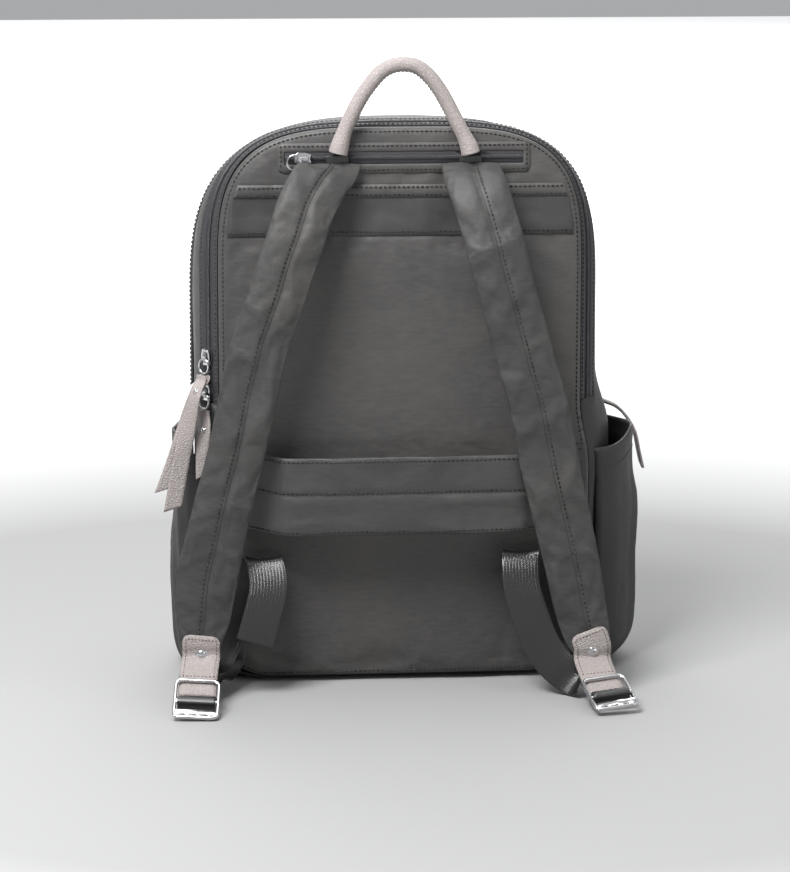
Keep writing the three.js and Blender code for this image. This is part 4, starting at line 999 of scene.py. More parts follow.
class Finishes:
    """Every material of the bag, made once."""

    def __init__(self) -> None:
        """Build the materials."""
        # Each nylon's base and shift colours are random tone and a painted sheen: the olive-brown and
        # the darker violet-grey of the cloth's sheen, mixed in patches by noise.
        olive_tone_and_sheen, violet_tone_and_sheen = (0.031, 0.03, 0.0285), (0.02, 0.0199, 0.022)
        self.shell = NylonFinish(
            "charcoal nylon", olive_tone_and_sheen, 0.62, shift=violet_tone_and_sheen, sheen=0.02, wrinkle=0.001
        ).material()
        self.panel = NylonFinish(
            "panel nylon", (0.064, 0.061, 0.057), 0.5, shift=(0.04, 0.0395, 0.042), planar=True,
            sheen=0.04, wrinkle=0.0009,
        ).material()
        self.strap = NylonFinish(
            "strap nylon", (0.046, 0.0445, 0.042), 0.6, shift=(0.026, 0.0258, 0.0285), sheen=0.04,
            wrinkle=0.0012,
        ).material()
        self.sleeve = NylonFinish(
            "sleeve nylon", (0.047, 0.046, 0.044), 0.5, shift=(0.032, 0.0317, 0.034), planar=True,
            sheen=0.04, wrinkle=0.0009,
        ).material()
        self.yoke = NylonFinish(
            "yoke nylon", (0.042, 0.0415, 0.0415), 0.55, shift=(0.032, 0.0318, 0.0335), planar=True,
            sheen=0.02, wrinkle=0.0005,
        ).material()
        self.tape = NylonFinish(
            "zipper tape", (0.036, 0.035, 0.039), 0.6, shift=(0.026, 0.025, 0.029), pitch=0.0008,
            relief=0.00012, sheen=0.03, wrinkle=0.0001,
        ).material()
        self.webbing = WebbingFinish("black webbing", (0.011, 0.0104, 0.0106), 0.3).material()
        self.leather = LeatherFinish(
            "taupe leather", (0.335, 0.3, 0.289), 0.46, shift=(0.265, 0.235, 0.225)
        ).material()
        self.chrome = MetalFinish("bright plating", (0.6, 0.6, 0.61), 0.1).material()
        self.coil = ThreadFinish(
            "zipper filament", (0.05, 0.048, 0.053), 0.26, shift=(0.036, 0.034, 0.038), gloss=0.6
        ).material()
        self.thread = ThreadFinish("dark thread", (0.008, 0.008, 0.0085), 0.6).material()
        self.pale_thread = ThreadFinish(
            "taupe thread", (0.13, 0.105, 0.098), 0.6, shift=(0.09, 0.072, 0.066)
        ).material()


# Things that follow a path.


@dataclass(frozen=True)
class Line:
    """A path of points with the direction that stands out of the surface at each."""

    points: Array
    normals: Array
    closed: bool = False

    def moved(self, distance: float) -> "Line":
        """The same line lifted off its surface."""
        return Line(self.points + distance * self.normals, self.normals, self.closed)


class PathTool:
    """A Geometry Nodes tree that turns paths into geometry."""

    name = "path tool"
    sizes: tuple[str, ...] = ()
    NORMAL = "surface_normal"

    def __init__(self) -> None:
        """Build the tree with its named inputs."""
        self.tree = bpy.data.node_groups.new(self.name, "GeometryNodeTree")
        face = self.tree.interface
        face.new_socket("Geometry", in_out="INPUT", socket_type="NodeSocketGeometry")
        for size in self.sizes:
            face.new_socket(size, in_out="INPUT", socket_type=FLOAT)
        face.new_socket("Seed", in_out="INPUT", socket_type="NodeSocketInt")
        face.new_socket("Material", in_out="INPUT", socket_type="NodeSocketMaterial")
        face.new_socket("Geometry", in_out="OUTPUT", socket_type="NodeSocketGeometry")
        self.nodes = Nodes(self.tree)
        self.source = self.nodes.add("NodeGroupInput").outputs
        curve = self.nodes.add("GeometryNodeMeshToCurve")
        self.nodes.join(self.source["Geometry"], curve.inputs[0])
        shape = self.shape(curve.outputs[0])
        real = self.nodes.add("GeometryNodeRealizeInstances")
        self.nodes.join(shape, real.inputs[0])
        dress = self.nodes.add("GeometryNodeSetMaterial")
        self.nodes.join(real.outputs[0], dress.inputs["Geometry"])
        self.nodes.join(self.source["Material"], dress.inputs["Material"])
        target = self.nodes.add("NodeGroupOutput")
        self.nodes.join(dress.outputs[0], target.inputs[0])

    def shape(self, curve: bpy.types.NodeSocket) -> bpy.types.NodeSocket:
        """Nodes from the curve to the finished geometry."""
        raise NotImplementedError

    def spaced(
        self, curve: bpy.types.NodeSocket, spacing: bpy.types.NodeSocket
    ) -> bpy.types.NodeSocket:
        """The curve with a point at every step of spacing."""
        resample = self.nodes.add("GeometryNodeResampleCurve", mode="LENGTH")
        self.nodes.join(curve, resample.inputs["Curve"])
        self.nodes.join(spacing, resample.inputs["Length"])
        return resample.outputs[0]

    def stand(self) -> bpy.types.NodeSocket:
        """Rotation with X along the path and Z out of the surface."""
        tangent = self.nodes.add("GeometryNodeInputTangent")
        normal = self.nodes.add("GeometryNodeInputNamedAttribute", data_type="FLOAT_VECTOR")
        normal.inputs[0].default_value = self.NORMAL
        turn = self.nodes.add("FunctionNodeAxesToRotation", primary_axis="X", secondary_axis="Z")
        self.nodes.join(tangent.outputs[0], turn.inputs[0])
        self.nodes.join(normal.outputs[0], turn.inputs[1])
        return turn.outputs[0]

    def vector(self, *values: object) -> bpy.types.NodeSocket:
        """Three values as a vector."""
        node = self.nodes.add("ShaderNodeCombineXYZ")
        for socket, value in zip(node.inputs, values):
            self.nodes.feed(socket, value)
        return node.outputs[0]

    def make(
        self,
        name: str,
        lines: Sequence[Line],
        material: bpy.types.Material,
        seed: int = 1,
        **sizes: float,
    ) -> bpy.types.Object:
        """Run the tree along lines and keep the result as a plain mesh.

        Args:
            name: name of the new piece.
            lines: the paths, in millimetres.
            material: material of the piece.
            seed: seed of what is random.
            sizes: the tree's named inputs, in metres.

        Returns:
            The new piece.
        """
        points, edges, normals = [], [], []
        for line in lines:
            start = len(points)
            points.extend(tuple(p * MM) for p in line.points)
            normals.extend(line.normals)
            edges.extend((k, k + 1) for k in range(start, len(points) - 1))
            if line.closed:
                edges.append((len(points) - 1, start))
        mesh = bpy.data.meshes.new(name + "_path")
        mesh.from_pydata(points, edges, [])
        layer = mesh.attributes.new(self.NORMAL, "FLOAT_VECTOR", "POINT")
        layer.data.foreach_set("vector", np.array(normals, dtype=float).ravel())
        carrier = link(name + "_path", mesh)
        modifier = carrier.modifiers.new(self.name, "NODES")
        modifier.node_group = self.tree
        sockets = {
            item.name: item.identifier
            for item in self.tree.interface.items_tree
            if item.in_out == "INPUT"
        }
        for key, value in {**sizes, "Seed": seed, "Material": material}.items():
            modifier[sockets[key.replace("_", " ").capitalize()]] = value
        graph = bpy.context.evaluated_depsgraph_get()
        baked = bpy.data.meshes.new_from_object(carrier.evaluated_get(graph), depsgraph=graph)
        bpy.data.objects.remove(carrier)
        bpy.data.meshes.remove(mesh)
        baked.name = name
        piece = link(name, baked)
        baked.polygons.foreach_set("use_smooth", [True] * len(baked.polygons))
        return piece


class StitchTool(PathTool):
    """A row of single stitches."""

    name = "stitch row"
    sizes = ("Spacing", "Length", "Radius")

    def shape(self, curve: bpy.types.NodeSocket) -> bpy.types.NodeSocket:
        """A flattened bead of thread at every step."""
        nodes = self.nodes
        bead = nodes.add("GeometryNodeMeshUVSphere")
        bead.inputs["Segments"].default_value = 6
        bead.inputs["Rings"].default_value = 5
        bead.inputs["Radius"].default_value = 1.0
        place = nodes.add("GeometryNodeInstanceOnPoints")
        nodes.join(self.spaced(curve, self.source["Spacing"]), place.inputs["Points"])
        nodes.join(bead.outputs[0], place.inputs["Instance"])
        chance = nodes.add("FunctionNodeRandomValue", data_type="FLOAT")
        chance.inputs[2].default_value = 0.85
        chance.inputs[3].default_value = 1.1
        nodes.join(self.source["Seed"], chance.inputs["Seed"])
        reach = nodes.math("MULTIPLY", self.source["Length"], 0.5)
        reach = nodes.math("MULTIPLY", reach, chance.outputs[1])
        size = self.vector(reach, self.source["Radius"], self.source["Radius"])
        nodes.join(self.stand(), place.inputs["Rotation"])
        nodes.join(size, place.inputs["Scale"])
        return place.outputs[0]


class ToothTool(PathTool):
    """The turns of a zipper's coil, two rows that mesh."""

    name = "zipper coil"
    sizes = ("Pitch", "Width", "Height")

    def shape(self, curve: bpy.types.NodeSocket) -> bpy.types.NodeSocket:
        """A turn of filament at every half pitch, to one side and then the other."""
        nodes = self.nodes
        turn = nodes.add("GeometryNodeMeshUVSphere")
        turn.inputs["Segments"].default_value = 8
        turn.inputs["Rings"].default_value = 6
        turn.inputs["Radius"].default_value = 1.0
        half = nodes.math("MULTIPLY", self.source["Pitch"], 0.5)
        place = nodes.add("GeometryNodeInstanceOnPoints")
        nodes.join(self.spaced(curve, half), place.inputs["Points"])
        nodes.join(turn.outputs[0], place.inputs["Instance"])
        nodes.join(self.stand(), place.inputs["Rotation"])
        size = self.vector(
            nodes.math("MULTIPLY", self.source["Pitch"], 0.24),
            nodes.math("MULTIPLY", self.source["Width"], 0.3),
            nodes.math("MULTIPLY", self.source["Height"], 0.5),
        )
        nodes.join(size, place.inputs["Scale"])
        count = nodes.add("GeometryNodeInputIndex")
        side = nodes.math("MULTIPLY_ADD", nodes.math("MODULO", count.outputs[0], 2.0), 2.0, -1.0)
        shift = nodes.math("MULTIPLY", nodes.math("MULTIPLY", self.source["Width"], 0.2), side)
        move = nodes.add("GeometryNodeTranslateInstances")
        nodes.join(place.outputs[0], move.inputs["Instances"])
        nodes.join(self.vector(0.0, shift, 0.0), move.inputs["Translation"])
        return move.outputs[0]


class CordTool(PathTool):
    """A round cord sewn along a line, such as piping."""

    name = "piping"
    sizes = ("Radius",)

    def shape(self, curve: bpy.types.NodeSocket) -> bpy.types.NodeSocket:
        """A circle carried along the curve."""
        circle = self.nodes.add("GeometryNodeCurvePrimitiveCircle")
        circle.inputs["Resolution"].default_value = 10
        self.nodes.join(self.source["Radius"], circle.inputs["Radius"])
        body = self.nodes.add("GeometryNodeCurveToMesh")
        self.nodes.join(curve, body.inputs["Curve"])
        self.nodes.join(circle.outputs[0], body.inputs["Profile Curve"])
        body.inputs["Fill Caps"].default_value = True
        return body.outputs[0]


@dataclass
class Workshop:
    """What the sub-assemblies share: finishes and path tools."""

    finishes: Finishes = field(default_factory=Finishes)
    stitches: StitchTool = field(default_factory=StitchTool)
    teeth: ToothTool = field(default_factory=ToothTool)
    piping: CordTool = field(default_factory=CordTool)

    def sew(
        self,
        name: str,
        lines: Sequence[Line],
        slot: Slot,
        spacing: float = 3.1,
        length: float = 2.45,
        radius: float = 0.6,
        pale: bool = False,
    ) -> bpy.types.Object:
        """Sew rows of stitches along lines and finish them as one piece."""
        thread = self.finishes.pale_thread if pale else self.finishes.thread
        row = self.stitches.make(
            name, lines, thread, spacing=spacing * MM, length=length * MM, radius=radius * MM
        )
        return finish(row, slot)


def finish(
    piece: bpy.types.Object, slot: Slot, *nodes: str, fill: float | None = None
) -> bpy.types.Object:
    """Parent a finished piece to the bag's body, hide the CAD parts it stands for and log its faces.

    Args:
        piece: the finished object.
        slot: material slot of the record; not used.
        nodes: CAD nodes that it stands for.
        fill: how full it is, where it is padded; not used.

    Returns:
        The same piece.
    """
    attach(piece, BODY)
    if nodes:
        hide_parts(*nodes)
    LOG.info("%s: %d faces", piece.name, len(piece.data.polygons))
    return piece


# Harness panel and what is sewn on it.

# Steps outwards and backwards of turned edges. The last step of the first two hides a plate's back.
YOKE_EDGE = [(0.25, 0.35), (0.2, 0.95), (-1.5, 3.6)]
FELL_EDGE = [(0.2, 0.3), (0.1, 0.9), (-0.8, 3.4)]
WELT_EDGE = [(0.3, 0.4), (0.2, 0.9)]

@dataclass
class HarnessPanel:
    """Padded panel of the harness side, its yoke band and its zip pocket."""

    shop: Workshop
    thickness: float = 6.0
    roll: float = 6.5
    spacing: float = 3.3
    crown: float = 1.5
    yoke_bottom: float = 306.5
    yoke_height: float = 33.5
    pocket_z: float = 358.5
    pocket_x: float = 2.0
    welt_width: float = 168.0
    welt_height: float = 19.6
    window_width: float = 160.0
    window_height: float = 8.8
    skin: Skin | None = None

    def plate(
        self,
        name: str,
        outline: Array,
        face: Callable[[float, float], float],
        loops: Sequence[tuple[float, float]],
        material: bpy.types.Material,
        spacing: float,
        hole: tuple[float, float, float, float] | None = None,
    ) -> bpy.types.Object:
        """A plate of cloth cut to an outline and seen from the harness side.

        Args:
            name: name of the piece.
            outline: its edge, points (x, z).
            face: where its face lies at x and z.
            loops: steps outwards and backwards of its turned edge.
            material: its material.
            spacing: size of the cells.
            hole: x0, z0, x1, z1 of a window.

        Returns:
            The new piece, closed at the back.
        """
        work = bmesh.new()
        work.faces.new([work.verts.new((x, 0, z)) for x, z in outline])
        low, high = outline.min(axis=0), outline.max(axis=0)
        cuts = [(0, c) for c in np.arange(low[0] + spacing, high[0] - 0.3, spacing)]
        cuts += [(2, c) for c in np.arange(low[1] + spacing, high[1] - 0.3, spacing)]
        if hole:
            cuts += [(0, hole[0]), (0, hole[2]), (2, hole[1]), (2, hole[3])]
        for axis, cut in cuts:
            spot, normal = [0.0] * 3, [0.0] * 3
            spot[axis], normal[axis] = cut, 1.0
            everything = work.verts[:] + work.edges[:] + work.faces[:]
            bmesh.ops.bisect_plane(work, geom=everything, plane_co=spot, plane_no=normal, dist=1e-4)
        if hole:
            inside = [
                f
                for f in work.faces
                if hole[0] < f.calc_center_median().x < hole[2]
                and hole[1] < f.calc_center_median().z < hole[3]
            ]
            bmesh.ops.delete(work, geom=inside, context="FACES")
        self.turn_edges(work, loops, face, bridged=hole is not None)
        for v in work.verts:
            v.co *= MM
        bmesh.ops.recalc_face_normals(work, faces=work.faces)
        mesh = bpy.data.meshes.new(name)
        layer = work.loops.layers.uv.new("cloth")
        for f in work.faces:
            for corner in f.loops:
                corner[layer].uv = (corner.vert.co.x, corner.vert.co.z)
            f.smooth = True
        work.to_mesh(mesh)
        work.free()
        mesh.materials.append(material)
        return link(name, mesh)

    @staticmethod
    def turn_edges(
        work: bmesh.types.BMesh,
        loops: Sequence[tuple[float, float]],
        face: Callable[[float, float], float],
        bridged: bool,
    ) -> None:
        """Turn a flat plate's edges back in loops, lay it on its face and close its back.

        Args:
            work: the flat plate.
            loops: steps outwards and backwards, from the face's edge.
            face: where the face lies at x and z.
            bridged: whether the back joins the outer edge to a window's edge.
        """
        edge = [e for e in work.edges if len(e.link_faces) == 1]
        out: dict[bmesh.types.BMVert, Vector] = {}
        for e in edge:
            centre = e.link_faces[0].calc_center_median()
            run = e.verts[1].co - e.verts[0].co
            side = Vector((run.z, 0, -run.x)).normalized()
            if side.dot(e.verts[0].co - centre) < 0:
                side.negate()
            for v in e.verts:
                out[v] = out.get(v, Vector()) + side
        home = {v: (v.co.copy(), out[v].normalized()) for v in out}
        front = list(work.verts)
        ring = edge
        rings = []
        for step_out, step_back in loops:
            made = bmesh.ops.extrude_edge_only(work, edges=ring)["geom"]
            fresh = [g for g in made if isinstance(g, bmesh.types.BMVert)]
            moved = {}
            for v in fresh:
                old = next(e.other_vert(v) for e in v.link_edges if e.other_vert(v) in home)
                moved[v] = home[old]
            home = moved
            rings.append((step_out, step_back, moved))
            ring = [g for g in made if isinstance(g, bmesh.types.BMEdge)
                    and all(v in moved for v in g.verts)]
        for step_out, step_back, moved in rings:
            for v, (place, side) in moved.items():
                spot = place + step_out * side
                v.co = Vector((spot.x, face(place.x, place.z) + step_back, spot.z))
        for v in front:
            v.co.y = face(v.co.x, v.co.z)
        if bridged:
            bmesh.ops.bridge_loops(work, edges=ring)
        else:
            bmesh.ops.holes_fill(work, edges=ring, sides=0)

    def outline(self, inset: float, low: float = -1.0, high: float = 999.0) -> Array:
        """The panel's outline at an inset, cut between two heights."""
        if low < 0 and high > OUTLINE.height:
            return mirrored(OUTLINE.right_side(0.0, inset), ring=True)
        heights = np.linspace(low, high, 12)
        edge = np.array([(OUTLINE.half_width(0.0, z, inset), z) for z in heights])
        return np.concatenate([edge, edge[::-1] * (-1, 1)])

    def face(self, x: float, z: float) -> float:
        """Where the padded face lies before the cloth settles."""
        across = 1.0 - min(1.0, abs(x) / OUTLINE.half_width(0.0, z, self.roll)) ** 4
        field_share = (z - 8.0) / (self.yoke_bottom - 8.0)
        if z < self.yoke_bottom:
            up = 1.0 - min(1.0, abs(2 * field_share - 1)) ** 5
        else:
            share = (z - self.yoke_bottom) / (OUTLINE.height - self.yoke_bottom)
            up = 0.35 * (1.0 - abs(2 * share - 1) ** 3)
        relief = self.crown * across * max(0.0, up)
        relief += across * (0.9 * ripple((x, 0, z), 70.0, 3.1) + 0.25 * crease((x, 0, z), 90.0, 5.0))
        relief -= 0.5 * math.exp(-(((z - self.yoke_bottom - 1.5) / 3.0) ** 2))
        return FACE_Y - relief

    def held(self, piece: bpy.types.Object) -> Array:
        """How firmly each point of the panel is sewn down."""
        seams = (self.yoke_bottom + 1.5, self.yoke_bottom + self.yoke_height - 4)
        weights = []
        for v in piece.data.vertices:
            x, y, z = v.co / MM
            rim = y > FACE_Y + 0.2 or abs(x) > OUTLINE.half_width(0.0, z, self.roll + 1.0)
            seam = any(abs(z - s) < 1.7 for s in seams)
            pocket = abs(x) < self.welt_width / 2 + 2 and abs(z - self.pocket_z) < 11
            weights.append(1.0 if rim or seam or pocket or z > 360 else 0.0)
        return np.array(weights)

    def build(self) -> None:
        """Make the panel and everything sewn flat on it."""
        finishes = self.shop.finishes
        loops = [(3.8, 0.4), (5.7, 1.7), (6.2, 4.3), (5.2, self.thickness)]
        panel = self.plate(
            "panel_pad", self.outline(self.roll), self.face, loops, finishes.panel, self.spacing
        )
        settle_cloth(panel, self.held(panel), pressure=1.2, slack=0.012, cap=1.8)
        self.skin = Skin(panel)
        finish(panel, Slot.PANEL, "harness_panel", fill=0.3)
        self.build_yoke()
        self.build_pocket()
        self.sew_edge()

    def above(self, gap: float) -> Callable[[float, float], float]:
        """Face of something that lies on the panel with its front gap above it."""
        return lambda x, z: self.skin.face_y(x, z) - gap

    def across_line(self, z: float, x0: float, x1: float, lift: float) -> Line:
        """A line across the panel at one height."""
        xs = np.linspace(x0, x1, max(8, int(abs(x1 - x0) / 3)))
        points = np.array([(x, self.skin.face_y(x, z) - lift, z) for x in xs])
        return Line(points, np.tile((0.0, -1.0, 0.0), (len(points), 1)))

    def build_yoke(self) -> None:
        """Make the yoke band, its felled top edge and its rows of stitches."""
        top = self.yoke_bottom + self.yoke_height
        outline = self.outline(self.roll - 0.5, self.yoke_bottom, top)
        band = self.plate(
            "yoke_cloth", outline, self.above(1.1), YOKE_EDGE, self.shop.finishes.yoke, 4.0
        )
        finish(band, Slot.YOKE, "yoke_band")
        fell = self.outline(self.roll - 0.5, top - 7.5, top + 0.8)
        strip = self.plate(
            "yoke_fell", fell, self.above(2.0), FELL_EDGE, self.shop.finishes.panel, 4.0
        )
        finish(strip, Slot.YOKE)
        rows = []
        for z, lift in ((top - 1.0, 2.1), (top - 6.3, 2.1), (self.yoke_bottom + 2.4, 1.2)):
            reach = OUTLINE.half_width(0.0, z, self.roll + 1.0)
            rows.append(self.across_line(z, -reach, reach, lift))
        self.shop.sew("yoke_stitches", rows, Slot.YOKE)

    def build_pocket(self) -> None:
        """Make the zip pocket: welt frame, tape, coil and a row of stitches; its slider and ring are
        made with the pullers.
        """
        finishes = self.shop.finishes
        mid, z = self.pocket_x, self.pocket_z
        half_w, half_h = self.window_width / 2, self.window_height / 2
        low, high = z - self.welt_height / 2, z + self.welt_height / 2
        corner = np.linspace(0, math.pi / 2, 5)
        half, r = self.welt_width / 2, 4.0
        outline = [
            (mid + sx * (half - r) + r * math.cos(a + turn), cz + r * math.sin(a + turn))
            for sx, cz, turn in (
                (1, high - r, 0), (-1, high - r, math.pi / 2),
                (-1, low + r, math.pi), (1, low + r, 1.5 * math.pi),
            )
            for a in corner
        ]
        frame_piece = self.plate(
            "pocket_frame", np.array(outline), self.above(1.1), WELT_EDGE,
            finishes.panel, 4.0, hole=(mid - half_w, z - half_h, mid + half_w, z + half_h),
        )
        finish(frame_piece, Slot.YOKE, "pocket_welt")
        bed = np.array([(-1, -1), (1, -1), (1, 1), (-1, 1)]) * (half_w + 1, half_h + 0.6) + (mid, z)
        tape = self.plate("pocket_tape", bed, self.above(0.45), [(0.0, 0.2)], finishes.tape, 4.0)
        finish(tape, Slot.TAPE)
        coil = self.shop.teeth.make(
            "pocket_teeth", [self.across_line(z, mid - half_w + 1, mid + half_w - 1, 0.9)],
            finishes.coil, pitch=1.6 * MM, width=5.6 * MM, height=1.5 * MM,
        )
        finish(coil, Slot.COIL, "pocket_coil")
        inset_x, inset_z = half - 1.8, self.welt_height / 2 - 1.8
        corners = [(-inset_x, -inset_z), (inset_x, -inset_z), (inset_x, inset_z),
                   (-inset_x, inset_z), (-inset_x, -inset_z)]
        path = np.concatenate([np.linspace(a, b, 40) for a, b in zip(corners, corners[1:])])
        path += (mid, z)
        points = np.array([(x, self.skin.face_y(x, up) - 1.2, up) for x, up in path])
        frame_line = Line(points, np.tile((0.0, -1.0, 0.0), (len(points), 1)))
        self.shop.sew("pocket_stitches", [frame_line], Slot.YOKE)

    def sew_edge(self) -> None:
        """Sew the row of stitches that runs along the panel's edge."""
        flat = self.outline(3.0)
        start = np.stack([flat[:, 0], np.full(len(flat), FACE_Y - 1), flat[:, 1]], axis=1)
        points, normals = self.skin.lay(start)
        line = Line(points, normals, closed=True).moved(0.1)
        self.shop.sew("panel_stitches", [line], Slot.PANEL)


# The bag's shell and the front.


@dataclass
class Shell:
    """Soft shell of the bag behind the zipper, with its seams and its front."""

    shop: Workshop
    wall: float = 1.6
    zip_start: float = 6.35
    zip_finish: float = 22.0
    sag: float = 2.1
    bulge: float = 11.0
    crease_depth: float = 1.3
    seam_depth: float = 119.0
    stitch_gap: float = 5.5
    clear_of_floor: float = 2.2
    front_width: float = 196.0
    front_height: float = 178.0
    front_bottom: float = 30.0
    front_rise: float = 11.0
    skin: Skin | None = None

    def relief(self, p: Array, depth: float) -> float:
        """How far the cloth stands off its plain shape at a point."""
        x, y, z = p
        calm = float(ease((depth - self.zip_start) / 14.0)) * float(ease((z - 1.0) / 22.0))
        broad = ripple((x, 0.8 * y, 0.55 * z), 68.0, 2.3)
        fold = crease((x, y, 0.3 * z + 0.4 * y), 46.0, 7.9) - 0.4
        low = 1.0 - 0.5 * float(ease((z - 150.0) / 120.0))
        full = 0.0
        if x > 100.0:
            over = math.exp(-(((depth - 50.0) / 24.0) ** 2))
            full = self.bulge * over * float(ease((212 - z) / 46)) * float(ease((z - 110) / 40))
        return calm * ((self.sag * broad + self.crease_depth * fold) * low + full)

    def depths(self) -> Array:
        """Depths of the shell's rings."""
        return np.concatenate(
            [[self.zip_start, self.zip_finish], np.linspace(26.0, 118.0, 30),
             np.array([120.5, 122.5, 124.2, 125.6, 126.8, 127.8, 128.6, 129.2, 129.65, 129.9, 130.0])]
        )

    def build(self) -> None:
        """Make the shell, its front panel and its seams."""
        depths = self.depths()
        rings = np.array([OUTLINE.ring(d) for d in depths])
        normals = turned_to(grid_normals(rings, closed=True), (3, 40), (1, 0, 0))
        lifts = np.array([[self.relief(p, d) for p in ring] for ring, d in zip(rings, depths)])
        outer = rings + normals * lifts[..., None]
        outer[..., 2] = np.maximum(outer[..., 2], 0.1)
        last = outer[-1]
        centre = last.mean(axis=0)
        front = [centre + (last - centre) * s for s in (0.86, 0.7, 0.52, 0.34, 0.17, 0.001)]
        outer = np.concatenate([outer, front])
        normals = np.concatenate([normals, np.tile((0.0, 1.0, 0.0), (len(front), len(last), 1))])
        normals[len(depths) - 1] = (0.0, 1.0, 0.0)
        zip_from = OUTLINE.zip_column
        zip_to = outer.shape[1] - OUTLINE.zip_column
        soup = Soup()
        add_sheet(
            soup, outer, outer - self.wall * normals, closed=True,
            keep=lambda i, j: i > 0 or not zip_from <= j < zip_to,
        )
        shell = soup.piece("shell_cloth", self.shop.finishes.shell)
        finish(shell, Slot.SHELL, "front_shell")
        self.skin = Skin(shell)
        self.build_seams()
        self.build_front()

    def ring_line(self, depth: float, lift: float) -> Line:
        """A closed line round the shell at a depth."""
        rough = OUTLINE.ring(depth)
        points, normals = self.skin.lay(rough)
        points[:, 2] = np.maximum(points[:, 2], self.clear_of_floor)
        return Line(points, normals, closed=True).moved(lift)

    def build_seams(self) -> None:
        """Sew the piping of the front edge and the stitches beside it."""
        cord = self.shop.piping.make(
            "front_piping", [self.ring_line(self.seam_depth, 0.5)], self.shop.finishes.shell,
            radius=1.5 * MM,
        )
        finish(cord, Slot.SHELL)
        row = self.ring_line(self.seam_depth - self.stitch_gap, -0.35)
        self.shop.sew("shell_stitches", [row], Slot.SHELL)

    def build_front(self) -> None:
        """Make the padded panel on the front and its piping."""
        count = 56
        spread = np.sin(np.linspace(-1, 1, count + 1) * math.pi / 2)
        middle = self.front_bottom + self.front_height / 2
        u, v = np.meshgrid(spread, spread)
        xs = self.front_width / 2 * u * np.sqrt(1 - 0.24 * v * v)
        zs = middle + self.front_height / 2 * v * np.sqrt(1 - 0.24 * u * u)
        base = np.array(
            [[self.front_y(x, z) + 0.3 for x, z in zip(rx, rz)] for rx, rz in zip(xs, zs)]
        )
        full = np.sqrt(np.clip((1 - u**4) * (1 - v**4), 0, 1))
        puff = mix(2.2, self.front_rise - 1.5, full)
        puff += full * np.array(
            [[0.5 * ripple((x, 0, z), 55.0, 5.2) for x, z in zip(rx, rz)] for rx, rz in zip(xs, zs)]
        )
        back = np.stack([xs, base, zs], axis=2)
        front = np.stack([xs, base + puff, zs], axis=2)
        soup = Soup()
        add_sheet(soup, front, back)
        pad = soup.piece("front_pad", self.shop.finishes.shell)
        rim = (np.abs(u) > 0.985) | (np.abs(v) > 0.985)
        held = np.concatenate([np.where(rim, 1.0, 0.0).ravel(), np.ones(u.size)])
        settle_cloth(pad, held, pressure=1.5, slack=0.02, cap=3.0)
        finish(pad, Slot.SHELL, "front_panel", fill=0.5)
        edge = np.concatenate([front[0, :-1], front[:-1, -1], front[-1, :0:-1], front[:0:-1, 0]])
        line = Line(edge - (0.0, 0.8, 0.0), np.tile((0.0, 1.0, 0.0), (len(edge), 1)), closed=True)
        cord = self.shop.piping.make(
            "front_pad_piping", [line], self.shop.finishes.shell, radius=1.4 * MM
        )
        finish(cord, Slot.SHELL)

    def front_y(self, x: float, z: float) -> float:
        """Where a line from the far side meets the shell."""
        hit, *_ = self.skin.tree.ray_cast(Vector((x * MM, 0.3, z * MM)), Vector((0, -1, 0)))
        return hit.y / MM if hit else -FACE_Y


# Zippers.


class Side(Enum):
    """Left or right of the bag, as a sign of x."""

    LEFT = -1
    RIGHT = 1

    @property
    def word(self) -> str:
        """Left or right in words."""
        return self.name.lower()


@dataclass
class ZipperTrack:
    """Tapes and coil of a zipper that runs over the bag from side to side."""

    shop: Workshop
    columns: int = 230

    def band(
        self, start: float, end: float, thickness: float, raise_by: float, bow: float = 0.0
    ) -> tuple[Array, Array]:
        """Front and back grids of a band between two depths.

        Args:
            start: depth of its first edge.
            end: depth of its second edge.
            thickness: its thickness.
            raise_by: how far its face stands off the outline.
            bow: how far its middle stands higher still.

        Returns:
            The two grids.
        """
        depths = np.linspace(start, end, 7)
        rows = np.array([OUTLINE.zipper_line(d, self.columns) for d in depths])
        normals = turned_to(grid_normals(rows), (3, 0), (1, 0, 0))
        share = np.linspace(-1, 1, len(depths))
        lift = raise_by + bow * (1 - share**2)
        lift[[0, -1]] -= 0.3
        front = rows + normals * lift[:, None, None]
        return front, front - normals * thickness

    def tape(self, name: str, node: str | None, start: float, end: float, raise_by: float) -> None:
        """Make one tape."""
        soup = Soup()
        add_sheet(soup, *self.band(start, end, 1.1, raise_by, bow=0.35))
        piece = soup.piece(name, self.shop.finishes.tape)
        finish(piece, Slot.TAPE, *([node] if node else []))

    def line(self, depth: float, lift: float) -> Line:
        """A line along the zipper at one depth."""
        rows = np.array([OUTLINE.zipper_line(d, self.columns) for d in (depth - 1, depth, depth + 1)])
        normals = turned_to(grid_normals(rows)[1], (0,), (1, 0, 0))
        return Line(rows[1], normals).moved(lift)

    def coil(self, name: str, node: str, start: float, end: float, lift: float) -> None:
        """Make the coil's turns."""
        piece = self.shop.teeth.make(
            name, [self.line((start + end) / 2, lift)], self.shop.finishes.coil,
            pitch=1.55 * MM, width=(end - start + 0.4) * MM, height=1.7 * MM,
        )
        finish(piece, Slot.COIL, node)

    def bed(self, name: str, start: float, end: float, raise_by: float) -> None:
        """Make the narrow strip of tape that the coil is woven on."""
        soup = Soup()
        add_sheet(soup, *self.band(start, end, 1.2, raise_by))
        finish(soup.piece(name, self.shop.finishes.tape), Slot.TAPE)


